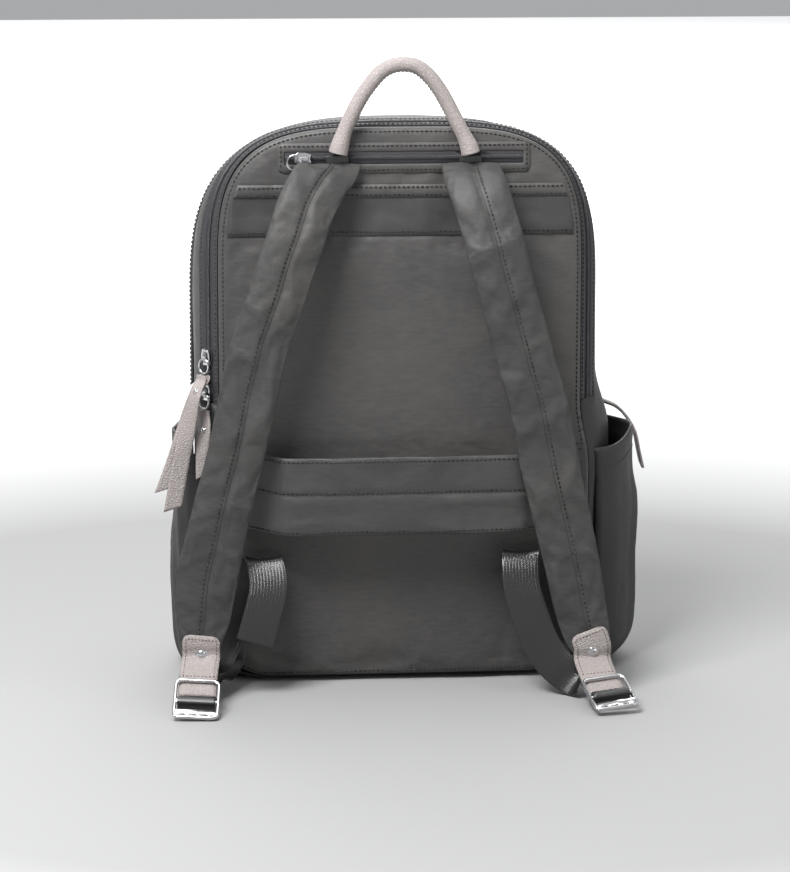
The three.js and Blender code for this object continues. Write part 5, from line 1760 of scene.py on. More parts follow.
@dataclass
class Zippers:
    """Main zipper round the harness panel, and the one of the second compartment."""

    shop: Workshop
    inner: tuple[float, float] = (6.35, 11.53)
    coil: tuple[float, float] = (11.88, 16.05)
    outer: tuple[float, float] = (16.4, 21.58)
    rear: tuple[float, float] = (98.8, 103.8)

    def build(self) -> None:
        """Make both tracks."""
        track = ZipperTrack(self.shop)
        track.tape("tape_inner", "zip_tape_inner", *self.inner, 0.0)
        track.tape("tape_outer", "zip_tape_outer", *self.outer, 0.0)
        track.bed("coil_bed", self.coil[0] - 0.3, self.coil[1] + 0.3, -0.3)
        track.coil("main_teeth", "zip_coil", *self.coil, 0.25)
        low, high = self.rear
        track.tape("rear_tape_left", None, low - 5.6, low - 0.2, 1.5)
        track.tape("rear_tape_right", None, high + 0.2, high + 5.6, 1.5)
        track.bed("rear_coil_bed", low - 0.3, high + 0.3, 1.3)
        track.coil("rear_teeth", "rear_coil", *self.rear, 1.6)
        rows = [track.line(self.inner[0] + 1.2, 0.3), track.line(self.outer[1] - 1.2, 0.3)]
        rows += [track.line(low - 4.4, 1.9), track.line(high + 4.4, 1.9)]
        self.shop.sew("tape_stitches", rows, Slot.TAPE)


# Hardware.


@dataclass(frozen=True)
class Seat:
    """Axes of a small fitting: across, up along it and out of its face."""

    origin: Array
    across: Array
    up: Array
    out: Array

    def at(self, across: float, up: float, out: float) -> Array:
        """Point at distances along the axes."""
        return self.origin + across * self.across + up * self.up + out * self.out

    def many(self, points: Sequence[Sequence[float]]) -> Array:
        """Several points at once."""
        return np.array([self.at(*p) for p in points])


def zipper_seat(side: Side, depth: float, z: float, lift: float, reach: float = 4.0) -> Seat:
    """Seat of a slider on a zipper's coil at a height."""
    sign = side.value
    wide = OUTLINE.half_width(depth + reach / 2, z) - OUTLINE.half_width(depth - reach / 2, z)
    across = unit(np.array([wide * sign, reach, 0.0]))
    up = np.array([0.0, 0.0, 1.0])
    out = np.cross(across, up)
    if out[0] * sign < 0:
        out, across = -out, -across
    place = np.array([sign * OUTLINE.half_width(depth, z), FACE_Y + depth, z])
    return Seat(place + lift * out, across, up, out)


def add_plate(
    soup: Soup, seat: Seat, outline: Sequence[tuple[float, float]], low: float, high: float
) -> None:
    """Add a flat plate with an outline (across, up) between two distances out of its seat."""
    top = soup.add_points(seat.many([(a, b, high) for a, b in outline]))
    bottom = soup.add_points(seat.many([(a, b, low) for a, b in outline]))
    count = len(outline)
    soup.cap([top + k for k in range(count)])
    soup.cap([bottom + k for k in reversed(range(count))])
    for k in range(count):
        n = (k + 1) % count
        quad = [top + k, bottom + k, bottom + n, top + n]
        soup.add_face(quad, [(0.0, 0.0), (0.0, 0.001), (0.001, 0.001), (0.001, 0.0)])


def rounded(half_w: float, half_h: float, r: float, steps: int = 4) -> list[tuple[float, float]]:
    """A rounded rectangle's points round its middle."""
    turns = np.linspace(0, math.pi / 2, steps + 1)
    quarters = ((1, 1, 0.0), (-1, 1, 0.5), (-1, -1, 1.0), (1, -1, 1.5))
    return [
        (
            sx * (half_w - r) + r * math.cos(a + start * math.pi),
            sz * (half_h - r) + r * math.sin(a + start * math.pi),
        )
        for sx, sz, start in quarters
        for a in turns
    ]


def wire_rings(path: Array, out: Array, section: Array) -> Array:
    """Rings of a section carried round a closed path that lies across out."""
    tangent = unit(np.roll(path, -1, axis=0) - np.roll(path, 1, axis=0))
    side = unit(np.cross(tangent, out))
    return path[:, None] + side[:, None] * section[None, :, :1] + out * section[None, :, 1:]


def bevel(piece: bpy.types.Object, width: float, segments: int = 2) -> None:
    """Round a hard piece's edges."""
    modifier = piece.modifiers.new("edges", "BEVEL")
    modifier.width = width * MM
    modifier.segments = segments
    modifier.limit_method = "ANGLE"
    modifier.angle_limit = math.radians(35)
    modifier.harden_normals = False


def add_lathe(
    soup: Soup, seat: Seat, profile: Sequence[tuple[float, float]], sides: int = 28
) -> None:
    """Turn a profile of (radius, out) round a seat's out axis."""
    rings = np.array(
        [
            seat.many(
                [(r * math.cos(a), r * math.sin(a), out) for a in np.arange(sides) * math.tau / sides]
            )
            for r, out in profile
        ]
    )
    soup.grid(rings, closed=True)


RIVET_PROFILE = (
    (0.001, 0.0), (1.0, 0.0), (1.0, 0.18), (0.93, 0.36), (0.82, 0.42), (0.74, 0.36), (0.7, 0.42),
    (0.62, 0.78), (0.42, 0.95), (0.2, 1.0), (0.001, 1.0),
)


@dataclass
class Fittings:
    """Sliders, wire rings and rivets."""

    shop: Workshop
    slider_length: float = 11.0
    slider_width: float = 8.0
    slider_thickness: float = 3.0
    wire: float = 1.5
    ring_length: float = 10.0
    ring_width: float = 9.0
    ring_drop: float = 6.0

    @property
    def ring_seat(self) -> float:
        """How far out the ring's middle lies."""
        return self.slider_thickness + 0.35 + self.wire / 2

    def slider(self, name: str, node: str, seat: Seat) -> None:
        """Make a slider: two plates, a neck and a bridge."""
        w, h, t = self.slider_width / 2, self.slider_length / 2, self.slider_thickness
        shape = [(-w, -0.55 * h), (-0.62 * w, -h), (0.62 * w, -h), (w, -0.55 * h), (w, 0.3 * h),
                 (0.72 * w, h), (0.2 * w, 0.86 * h), (-0.2 * w, 0.86 * h), (-0.72 * w, h),
                 (-w, 0.3 * h)]
        soup = Soup()
        add_plate(soup, seat, shape, 0.62 * t, 0.95 * t)
        add_plate(soup, seat, shape, 0.0, 0.3 * t)
        add_plate(soup, seat, rounded(0.3 * w, 0.5 * h, 0.2 * w), 0.28 * t, 0.64 * t)
        arch = np.linspace(0, math.pi, 13)
        spine = seat.many(
            [(0, 0.62 * h * math.cos(a), 0.9 * t + 0.42 * t * math.sin(a)) for a in arch]
        )
        section = np.tile(band_section(0.34 * 2 * w, 0.9, 0.3, 3), (len(spine), 1, 1))
        rings, *_ = rings_along(spine, np.tile(seat.across, (len(spine), 1)), section)
        add_sweep(soup, rings)
        piece = soup.piece(name, self.shop.finishes.chrome, smooth=False)
        bevel(piece, 0.28)
        finish(piece, Slot.HARDWARE, node)

    def ring(self, name: str, node: str, seat: Seat, drop: float | None = None) -> None:
        """Make an oval ring of wire that hangs from a slider."""
        drop = self.ring_drop if drop is None else drop
        angle = np.arange(40) * math.tau / 40
        path = seat.many(
            [
                (self.ring_width / 2 * math.cos(a), self.ring_length / 2 * math.sin(a) - drop,
                 self.ring_seat)
                for a in angle
            ]
        )
        soup = Soup()
        rings = wire_rings(path, seat.out, round_section(10, self.wire / 2))
        add_sweep(soup, rings, closed_path=True)
        finish(soup.piece(name, self.shop.finishes.chrome), Slot.HARDWARE, node)

    def rivet(self, name: str, node: str, seat: Seat, radius: float, height: float) -> None:
        """Make a domed rivet with a rim."""
        soup = Soup()
        add_lathe(soup, seat, [(r * radius, h * height) for r, h in RIVET_PROFILE])
        finish(soup.piece(name, self.shop.finishes.chrome), Slot.HARDWARE, node)


STRAP_STAND_OFF = 41.5


def bag_point(x: float, out: float, z: float) -> Array:
    """Point from shares of the half width, the strap's stand-off and the height."""
    return np.array([x * OUTLINE.half, FACE_Y - out * STRAP_STAND_OFF, z * OUTLINE.height])


# Shoulder straps, their ends and the webbing.

STRAP_ROWS = {
    Side.LEFT: np.array(
        [
            (-0.329, 0.115, 0.9265, 0.97, 0.4), (-0.352, 0.235, 0.9165, 0.99, 0.7),
            (-0.403, 0.46, 0.9025, 1.0, 0.96), (-0.472, 0.75, 0.8635, 0.99, 1.0),
            (-0.52, 0.91, 0.8155, 0.98, 1.0), (-0.567, 0.975, 0.77, 0.97, 1.0),
            (-0.621, 1.0, 0.707, 0.96, 1.0), (-0.691, 1.0, 0.6375, 0.97, 1.0),
            (-0.741, 1.0, 0.568, 0.98, 1.0), (-0.783, 1.0, 0.4975, 0.98, 1.0),
            (-0.826, 1.0, 0.4265, 0.97, 1.0), (-0.878, 1.0, 0.356, 0.98, 1.0),
            (-0.923, 0.985, 0.284, 1.02, 1.0), (-0.968, 0.97, 0.2095, 1.05, 1.0),
            (-0.984, 0.99, 0.152, 0.95, 0.92), (-0.994, 1.04, 0.1165, 0.78, 0.66),
            (-0.998, 1.075, 0.101, 0.68, 0.4),
        ]
    ),
    Side.RIGHT: np.array(
        [
            (0.333, 0.115, 0.9265, 1.0, 0.4), (0.337, 0.235, 0.9165, 1.01, 0.7),
            (0.345, 0.46, 0.9025, 1.02, 0.96), (0.37, 0.73, 0.8715, 1.0, 1.0),
            (0.42, 0.91, 0.805, 1.0, 1.0), (0.441, 0.975, 0.771, 0.99, 1.0),
            (0.48, 1.0, 0.7185, 0.97, 1.0), (0.534, 1.0, 0.648, 0.98, 1.0),
            (0.586, 1.0, 0.5775, 0.98, 1.0), (0.63, 1.0, 0.5235, 1.0, 1.0),
            (0.672, 1.0, 0.453, 1.0, 1.0), (0.712, 1.0, 0.381, 0.99, 1.0),
            (0.761, 1.0, 0.3075, 0.98, 1.0), (0.807, 1.01, 0.233, 0.95, 1.0),
            (0.845, 1.04, 0.162, 0.9, 0.98), (0.877, 1.1, 0.1125, 0.82, 0.7),
            (0.902, 1.16, 0.0855, 0.68, 0.4),
        ]
    ),
}


@dataclass
class StrapPad:
    """Padded shoulder strap sewn through along its middle."""

    shop: Workshop
    side: Side
    width: float = 39.0
    thickness: float = 10.0
    steps: int = 150
    front_points: int = 26
    back_points: int = 16
    seam: float = 0.02
    groove: float = 1.9
    stitch_gap: float = 2.6

    def section(self, width: float, thickness: float) -> Array:
        """The pad's section: crowned, pinched at the seam."""
        u = 0.5 * np.sin(np.linspace(-1, 1, self.front_points) * math.pi / 2)
        full = np.clip(1 - np.abs(2 * u) ** 3.2, 0, 1) ** 0.55
        pinch = np.exp(-(((u - self.seam) * width / 1.7) ** 2))
        front = thickness / 2 * (0.12 + 0.88 * full) - self.groove * pinch * thickness / 10
        w = 0.5 * np.sin(np.linspace(1, -1, self.back_points + 2)[1:-1] * math.pi / 2)
        back = -thickness / 2 * (0.12 + 0.88 * np.clip(1 - np.abs(2 * w) ** 3.2, 0, 1) ** 0.55)
        return np.concatenate(
            [np.stack([u * width, front], axis=1), np.stack([w * width, back], axis=1)]
        )

    def frame_rows(self) -> tuple[Array, Array, Array]:
        """Centre points, level axes and the smoothed table."""
        rows = catmull(STRAP_ROWS[self.side], self.steps)
        points = np.array([bag_point(*row[:3]) for row in rows])
        run = np.gradient(points, axis=0)
        level = unit(np.stack([-run[:, 2], np.zeros(len(run)), run[:, 0]], axis=1))
        share = ease(np.arange(len(rows)) * 32 / self.steps / 7)[:, None]
        return points, (1 - share) * np.array([1.0, 0, 0]) + share * level, rows

    def build(self) -> None:
        """Make the pad, let it settle and sew it."""
        points, across, rows = self.frame_rows()
        sections = np.array([self.section(self.width * r[3], self.thickness * r[4]) for r in rows])
        wobble = np.array([0.45 * ripple(p, 38.0, 4.4) for p in points])
        sections[..., 0] *= 1 + 0.02 * wobble[:, None]
        rings, axes, out = rings_along(points, across, sections, level=True)
        noise_lift = np.array(
            [
                [1.1 * ripple(p, 34.0, 9.1) + 1.2 * crease(p, 48.0, 1.3) - 0.5 for p in ring]
                for ring in rings
            ]
        )
        calm = ease(np.minimum(np.arange(len(rings)), np.arange(len(rings))[::-1]) / 14)
        rings = rings + out[:, None] * (noise_lift * calm[:, None])[..., None] * np.sign(
            sections[..., 1:]
        )
        soup = Soup()
        add_sweep(soup, rings)
        pad = soup.piece(f"strap_pad_{self.side.word}", self.shop.finishes.strap)
        u = sections[0, :, 0] / (self.width * rows[0, 3])
        sewn = (np.abs(u - self.seam) < 0.02) | (np.abs(u) > 0.492)
        held = np.tile(np.where(sewn, 1.0, 0.0), (len(rings), 1))
        held[:5] = held[-5:] = 1.0
        settle_cloth(pad, held.ravel(), pressure=2.0, slack=0.014, cap=1.8)
        skin = Skin(pad)
        finish(pad, Slot.STRAP, f"strap_{self.side.word}", fill=0.5)
        self.sew(skin, points, axes, out, rows)

    def sew(self, skin: Skin, points: Array, axes: Array, out: Array, rows: Array) -> None:
        """Sew the row beside the middle seam and lay the seam's cord."""
        sign = self.side.value
        widths = rows[:, 3:4] * self.width
        keep = slice(3, len(rows) - 8)

        def along(u_shift: float) -> Line:
            """A line down the strap's front at a distance from the seam."""
            spots = points + axes * (self.seam * widths + u_shift)
            front = spots + out * 9.0
            found = [skin.tree.ray_cast(Vector(p) * MM, -Vector(o)) for p, o in zip(front, out)]
            kept = [(np.array(h[0]) / MM, o) for h, o in list(zip(found, out))[keep] if h[0]]
            return Line(np.array([p for p, _ in kept]), np.array([n for _, n in kept]))

        self.shop.sew(
            f"strap_stitches_{self.side.word}", [along(sign * self.stitch_gap).moved(0.1)], Slot.STRAP
        )
        cord = self.shop.piping.make(
            f"strap_seam_{self.side.word}", [along(0.0).moved(0.05)], self.shop.finishes.strap,
            radius=0.3 * MM,
        )
        finish(cord, Slot.STRAP)


BUCKLE_SEATS = {
    Side.LEFT: (-1.018, 1.6506, 0.05288, 0.59, -0.09),
    Side.RIGHT: (0.925, 1.8072, 0.04607, 0.4, 0.2),
}
ROUTES = {
    Side.LEFT: (
        [
            (-0.74, 0.93, 0.096), (-0.7, 0.9, 0.145), (-0.668, 0.82, 0.19), (-0.672, 0.68, 0.226),
            (-0.69, 0.55, 0.238), (-0.715, 0.42, 0.226), (-0.76, 0.38, 0.18), (-0.85, 0.5, 0.12),
            (-0.93, 0.8, 0.068),
        ],
        [(-0.985, 1.0, 0.036), (-0.93, 0.5, 0.026), (-0.87, 0.14, 0.048), (-0.845, 0.05, 0.085)],
    ),
    Side.RIGHT: (
        [
            (0.85, 0.05, 0.075), (0.8, 0.08, 0.115), (0.69, 0.2, 0.19), (0.61, 0.38, 0.232),
            (0.575, 0.56, 0.243), (0.566, 0.72, 0.225), (0.572, 0.83, 0.185), (0.61, 0.93, 0.138),
            (0.66, 1.02, 0.09), (0.735, 1.12, 0.052),
            (0.83, 1.22, 0.03),
        ],
        [],
    ),
}
BAR_TURN = {
    "upper": [(-0.4375, 0, 1.4), (-0.125, 0, 1.09), (0.1875, 0, 1.0), (0.4538, -1, 1.0),
              (0.5381, -1, 0.72), (0.56, -1, 0.3)],
    "over": [(-1, 0.55), (-0.72, 0.95), (0, 1.1), (0.72, 0.95), (1, 0.55)],
    "lower": [(0.56, 1, 0.3), (0.5381, 1, 0.78), (0.435, 1, 1.0), (0.3125, 0, 1.01)],
}


@dataclass
class StrapEnd:
    """Leather tab, rivet, buckle and webbing at a strap's lower end."""

    shop: Workshop
    fittings: Fittings
    side: Side
    tab_width: float = 25.0
    tab_thickness: float = 2.4
    rivet_radius: float = 4.0
    rivet_height: float = 1.6
    width: float = 31.0
    length: float = 32.0
    plate: float = 2.6
    bar: float = 3.2
    bar_share: float = 0.56
    webbing_width: float = 25.0
    webbing_thickness: float = 1.3
    clearance: float = 0.35
    tab_corner: float = 5.0
    groove_inset: float = 2.2
    stitched_share: float = 0.66
    rivet_share: float = 0.27
    lean: float = 0.6
    leaning_rows: int = 6

    @property
    def seat(self) -> Seat:
        """Seat of the buckle, its up axis running back towards the strap."""
        x, out, z, pitch, turn = BUCKLE_SEATS[self.side]
        along = np.array(
            [math.sin(turn), -math.cos(turn) * math.cos(pitch), -math.cos(turn) * math.sin(pitch)]
        )
        normal = np.array([0.0, -math.sin(pitch), math.cos(pitch)])
        return Seat(bag_point(x, out, z), unit(np.cross(-along, normal)), -along, normal)

    @property
    def tab_drop(self) -> float:
        """How far behind the buckle's middle the tab passes."""
        return self.plate / 2 + self.clearance + self.tab_thickness / 2

    def tab_line(self) -> tuple[Array, Array]:
        """Centre points and axes of the tab."""
        rows = STRAP_ROWS[self.side]
        lift = 2.5 * self.clearance + self.tab_thickness / 2

        def on_strap(row: Array, up: float) -> Array:
            """Point before the strap's front."""
            return bag_point(*row[:3]) + (0.0, -(row[4] * 5.0 + lift), up)

        seat = self.seat
        under = [
            seat.at(0, -a * self.length, -d * self.tab_drop)
            for a, d in ((-0.281, 0.79), (-0.094, 1.0), (0.329, 1.0))
        ]
        points = np.array(
            [on_strap(rows[-2], 1.5), on_strap(rows[-1], 1.5), on_strap(rows[-1], -7.0), *under]
        )
        line = evenly(catmull(points, 60), 60)
        share = np.linspace(0, 1, len(line))[:, None]
        return line, (1 - share) * np.array([1.0, 0, 0]) + share * seat.across

    def build_tab(self) -> None:
        """Make the leather tab with its sewn border and rivet."""
        line, across = self.tab_line()
        columns = 15
        run = np.concatenate([[0], np.cumsum(np.linalg.norm(np.diff(line, axis=0), axis=1))])
        inward = np.clip(1 - run / self.tab_corner, 0, 1)
        half = self.tab_width / 2 - self.tab_corner * (1 - np.sqrt(1 - inward**2))
        w = np.linspace(-1, 1, columns)
        sections = np.stack([half[:, None] * w, np.zeros((len(line), columns))], axis=2)
        middle, axes, out = rings_along(line, across, sections)
        facing = np.sign((out * (0, -1, 0.3)).sum(axis=1))[:, None]
        out = out * facing
        edge = np.minimum(1 - np.abs(w), 0.25)[None, :] / 0.25
        ends = np.minimum(np.minimum(run, run[-1] - run) / 2.5, 1.0)[:, None]
        full = np.sqrt(np.clip(edge * ends, 0, 1))
        in_from_edge = (1 - np.abs(w)) * self.tab_width / 2
        border = np.exp(-((in_from_edge - self.groove_inset) ** 2) / 0.5)[None, :]
        face = self.tab_thickness / 2 * (0.55 + 0.45 * full) + 0.35 * full - 0.35 * border
        soup = Soup()
        add_sheet(
            soup,
            middle + out[:, None] * face[..., None],
            middle - out[:, None] * (self.tab_thickness / 2),
        )
        tab = soup.piece(f"leather_tab_{self.side.word}", self.shop.finishes.leather)
        finish(tab, Slot.LEATHER, f"tab_{self.side.word}")
        skin = Skin(tab)
        top, bottom = 3, int(np.searchsorted(run, self.stitched_share * run[-1]))
        inner = self.tab_width / 2 - self.groove_inset
        down = slice(top, bottom)
        left, right = (line[down] + axes[down] * s * inner + out[down] * 2 for s in (-1, 1))
        cross = np.linspace(-inner, inner, 24)[:, None]
        upper, lower = (line[k] + axes[k] * cross + out[k] * 2 for k in (top, bottom))
        lines = []
        for part in (np.concatenate([left[::-1], upper, right]), lower):
            points, normals = skin.lay(part)
            lines.append(Line(points, normals).moved(0.05))
        self.shop.sew(
            f"tab_stitches_{self.side.word}", lines, Slot.LEATHER, spacing=2.3, length=1.7,
            radius=0.36, pale=True,
        )
        k = int(self.rivet_share * (len(line) - 1))
        spot, normal = skin.nearest(line[k] + 3 * out[k])
        up = np.cross(normal, axes[k])
        seat = Seat(spot - 0.2 * normal, axes[k], up, normal)
        self.fittings.rivet(
            f"rivet_{self.side.word}", f"tab_rivet_{self.side.word}", seat, self.rivet_radius,
            self.rivet_height,
        )

    def build_buckle(self) -> None:
        """Make the plated buckle: rim with a bowed top bar, middle bar and notched lower bar."""
        seat = self.seat
        w, length = self.width / 2 - self.plate / 2, self.length - self.plate / 2
        outline = np.array(rounded(w, length / 2, 3.2, 6))
        path_points = []
        for a, b in outline:
            up = b - self.length / 2
            bow = max(0.0, b / (length / 2)) ** 3 * (1 - (a / w) ** 2)
            path_points.append((a, up + 1.9 * bow, 1.1 * bow))
        path = seat.many(path_points)
        path = evenly(np.concatenate([path, path[:1]]), 72)[:-1]
        half = self.plate / 2
        section = np.array(
            [(half * math.cos(a) * 0.95, half * math.sin(a)) for a in np.arange(12) * math.tau / 12]
        )
        section = np.sign(section) * np.abs(section) ** 0.72 * half**0.28
        soup = Soup()
        add_sweep(soup, wire_rings(path, seat.out, section), closed_path=True)
        steps = 9
        middle = -self.bar_share * self.length
        spine = seat.many([(a, middle, 0) for a in np.linspace(-w, w, steps)])
        bar = np.tile(band_section(self.bar, self.plate, 0.9, 4), (steps, 1, 1))
        bars, *_ = rings_along(spine, np.tile(seat.up, (steps, 1)), bar)
        add_sweep(soup, bars)
        low, top = -self.length + 0.4, -self.length + 6.6
        mouth, root, notch = 2.2, 1.3, low + 1.9
        notched = [(-w, top), (-w, low)]
        for centre in (-0.5 * w, 0.0, 0.5 * w):
            notched += [(centre - mouth, low), (centre - root, notch)]
            notched += [(centre + root, notch), (centre + mouth, low)]
        notched += [(w, low), (w, top)]
        add_plate(soup, seat, notched, -0.35 * self.plate, 0.42 * self.plate)
        piece = soup.piece(f"buckle_frame_{self.side.word}", self.shop.finishes.chrome)
        bevel(piece, 0.35)
        finish(piece, Slot.HARDWARE, f"buckle_{self.side.word}")

    def build_webbing(self) -> None:
        """Make the adjusting webbing that turns round the buckle's bar."""
        seat, thick = self.seat, self.webbing_thickness
        wrap = 1.3 * self.clearance + thick / 2
        reach, rise = self.bar / 2 + wrap, self.plate / 2 + wrap
        drop = self.tab_drop + (self.tab_thickness + thick) / 2 + 2 * self.clearance
        centre = self.bar_share * self.length

        def under(rows: Sequence[tuple[float, float, float]], depth: float) -> list[Array]:
            """Points behind the buckle."""
            return [seat.at(0, -(a * self.length + r * reach), -d * depth) for a, r, d in rows]

        turned = under(BAR_TURN["upper"], drop)
        turned += [seat.at(0, -(centre + r * reach), h * rise) for r, h in BAR_TURN["over"]]
        turned += under(BAR_TURN["lower"], drop + 1.7 * thick)
        before, after = ([bag_point(*row) for row in part] for part in ROUTES[self.side])
        points = np.array([*before, *turned, *after])
        run_x, _, run_z = np.gradient(np.array(before), axis=0).T
        slant = unit(np.stack([np.abs(run_z), 0 * run_x, -np.sign(run_z) * run_x], axis=1))
        late = (np.arange(len(before)) - len(before) + self.leaning_rows) / 3
        lean = self.lean * ease(late)[:, None]
        axes = np.concatenate(
            [
                (1 - lean) * (1.0, 0, 0) + lean * slant,
                np.tile(seat.across, (len(turned), 1)),
                np.tile((1.0, 0, 0), (len(after), 1)),
            ]
        )
        smooth_rows = catmull(np.concatenate([points, axes], axis=1), 6 * (len(points) - 1))
        section = band_section(self.webbing_width, thick, 0.5, 13)
        rings, *_ = rings_along(
            smooth_rows[:, :3], smooth_rows[:, 3:], np.tile(section, (len(smooth_rows), 1, 1))
        )
        soup = Soup()
        add_sweep(soup, rings)
        piece = soup.piece(f"webbing_band_{self.side.word}", self.shop.finishes.webbing)
        finish(piece, Slot.WEBBING, f"webbing_{self.side.word}")

    def build(self) -> None:
        """Make the strap's end."""
        self.build_tab()
        self.build_buckle()
        self.build_webbing()


@dataclass(frozen=True)
class PullerLayer:
    """One strip of a leather zipper puller."""

    name: str
    node: str
    thickness: float
    shift: float
    points: tuple[tuple[float, float, float], ...]
    taper: float = 0.0


@dataclass
class Pullers:
    """Every slider with its ring, and the leather strips that hang from three of them."""

    shop: Workshop
    fittings: Fittings
    width: float = 11.5
    thickness: float = 2.2
    steps: int = 48
    columns: int = 9
    main_depth: float = 13.965
    rear_depth: float = 101.3

    def strip(
        self, seat: Seat, layer: PullerLayer, across: Array | None = None
    ) -> tuple[Array, Array]:
        """Make one strip and return its middle line and outward directions."""
        start = 11.0 + self.fittings.wire / 2 + 0.35
        out = self.fittings.ring_seat + layer.shift
        first = [seat.at(0, -start, out), seat.at(0, -start - 2.99, out)]
        rows = np.array([*first, *(bag_point(*p) for p in layer.points)])
        line = evenly(catmull(rows, 60), self.steps)
        count = self.steps + 1
        share = np.clip(
            (np.arange(count) / self.steps * 2 * (len(rows) - 1) - 2) / 4, 0, 1
        )[:, None]
        axes = (1 - share) * seat.across + share * np.array([1.0, 0, 0])
        if across is not None:
            axes = np.tile(across, (len(line), 1))
        run = np.linspace(0, 1, count)
        half = self.width / 2 * (0.86 + 0.14 * ease(run * 5)) * (1 - layer.taper * run**1.5)
        w = np.linspace(-1, 1, self.columns)
        sections = np.stack([half[:, None] * w, np.zeros((count, self.columns))], axis=2)
        middle, axes, out_dir = rings_along(line, axes, sections, level=True)
        tip = np.clip((run - 0.9) / 0.1, 0, 1)[:, None] * (w + 1)[None, :] / 2 * 4.0
        tangent = unit(np.gradient(line, axis=0))
        middle = middle - tangent[:, None] * tip[..., None]
        full = np.sqrt(np.clip((1 - np.abs(w)) / 0.3, 0, 1))[None, :]
        face = layer.thickness / 2 * (0.6 + 0.4 * full)
        soup = Soup()
        add_sheet(
            soup,
            middle + out_dir[:, None] * face[..., None],
            middle - out_dir[:, None] * face[..., None],
        )
        piece = soup.piece(layer.name, self.shop.finishes.leather)
        finish(piece, Slot.LEATHER, layer.node)
        return line, out_dir

    def hang(
        self, name: str, height: float, layers: Sequence[PullerLayer], rivet_share: float
    ) -> None:
        """Make a main slider, its ring, its strips and their rivet."""
        seat = zipper_seat(Side.LEFT, self.main_depth, height, 0.85)
        self.fittings.slider(f"{name}_slider", f"slider_{name}", seat)
        self.fittings.ring(f"{name}_ring", f"ring_{name}", seat)
        lines = [self.strip(seat, layer) for layer in layers]
        line, out = lines[0]
        k = int(rivet_share * self.steps)
        normal = out[k] if out[k][1] < 0 else -out[k]
        axis = unit(np.cross(normal, np.gradient(line, axis=0)[k]))
        spot = line[k] + normal * layers[0].thickness / 2
        rivet_seat = Seat(spot, axis, np.cross(normal, axis), normal)
        self.fittings.rivet(f"{name}_puller_rivet", f"puller_rivet_{name}", rivet_seat, 2.2, 1.2)

    def build(self) -> None:
        """Make all sliders and pullers."""
        half = 0.5 * self.thickness
        upper = [
            PullerLayer(
                "upper_strip_front", "puller_upper_front", half, 1.1 * self.thickness,
                ((-1.004, -0.01, 0.525), (-1.035, -0.01, 0.475), (-1.078, -0.03, 0.4),
                 (-1.122, -0.03, 0.314)),
            ),
            PullerLayer(
                "upper_strip_back", "puller_upper_back", half, -0.3 * self.thickness,
                ((-1.0, -0.15, 0.525), (-1.043, -0.14, 0.475), (-1.1, -0.13, 0.41),
                 (-1.165, -0.12, 0.347)),
            ),
        ]
        lower = [
            PullerLayer(
                "lower_strip", "puller_lower_strip", self.thickness, 0.0,
                ((-0.958, -0.15, 0.46), (-0.972, -0.12, 0.42), (-0.985, -0.11, 0.37)),
                taper=0.55,
            )
        ]
        self.hang("upper", 1.165 * OUTLINE.zip_end, upper, 0.16)
        self.hang("lower", 1.04 * OUTLINE.zip_end, lower, 0.3)
        seat = zipper_seat(Side.RIGHT, self.rear_depth, 1.06 * OUTLINE.zip_end, 1.9)
        self.fittings.slider("rear_slider", "slider_rear", seat)
        self.fittings.ring("rear_ring", "ring_rear", seat)
        rear = PullerLayer(
            "rear_strip", "puller_rear", self.thickness, 0.0,
            ((1.09, -2.42, 0.462), (1.16, -2.2, 0.452), (1.205, -1.95, 0.437),
             (1.245, -1.85, 0.41), (1.265, -1.8, 0.375), (1.283, -1.76, 0.345)),
        )
        self.strip(seat, rear, across=np.array([0.0, 1.0, 0.0]))
        face = np.array([0.0, -1.0, 0.0])
        place = np.array([-65.58, FACE_Y - 1.9, 358.5])
        flat = Seat(place, np.array([0.0, 0, -1.0]), np.array([1.0, 0, 0]), face)
        self.fittings.slider("small_slider", "pocket_slider", flat)
        hung = Seat(place + (-6.0, 0, -2.5), np.array([1.0, 0, 0]), np.array([0.0, 0, 1.0]), face)
        self.fittings.ring("small_ring", "pocket_ring", hung, drop=0.0)


# Sleeve, pockets and handle.


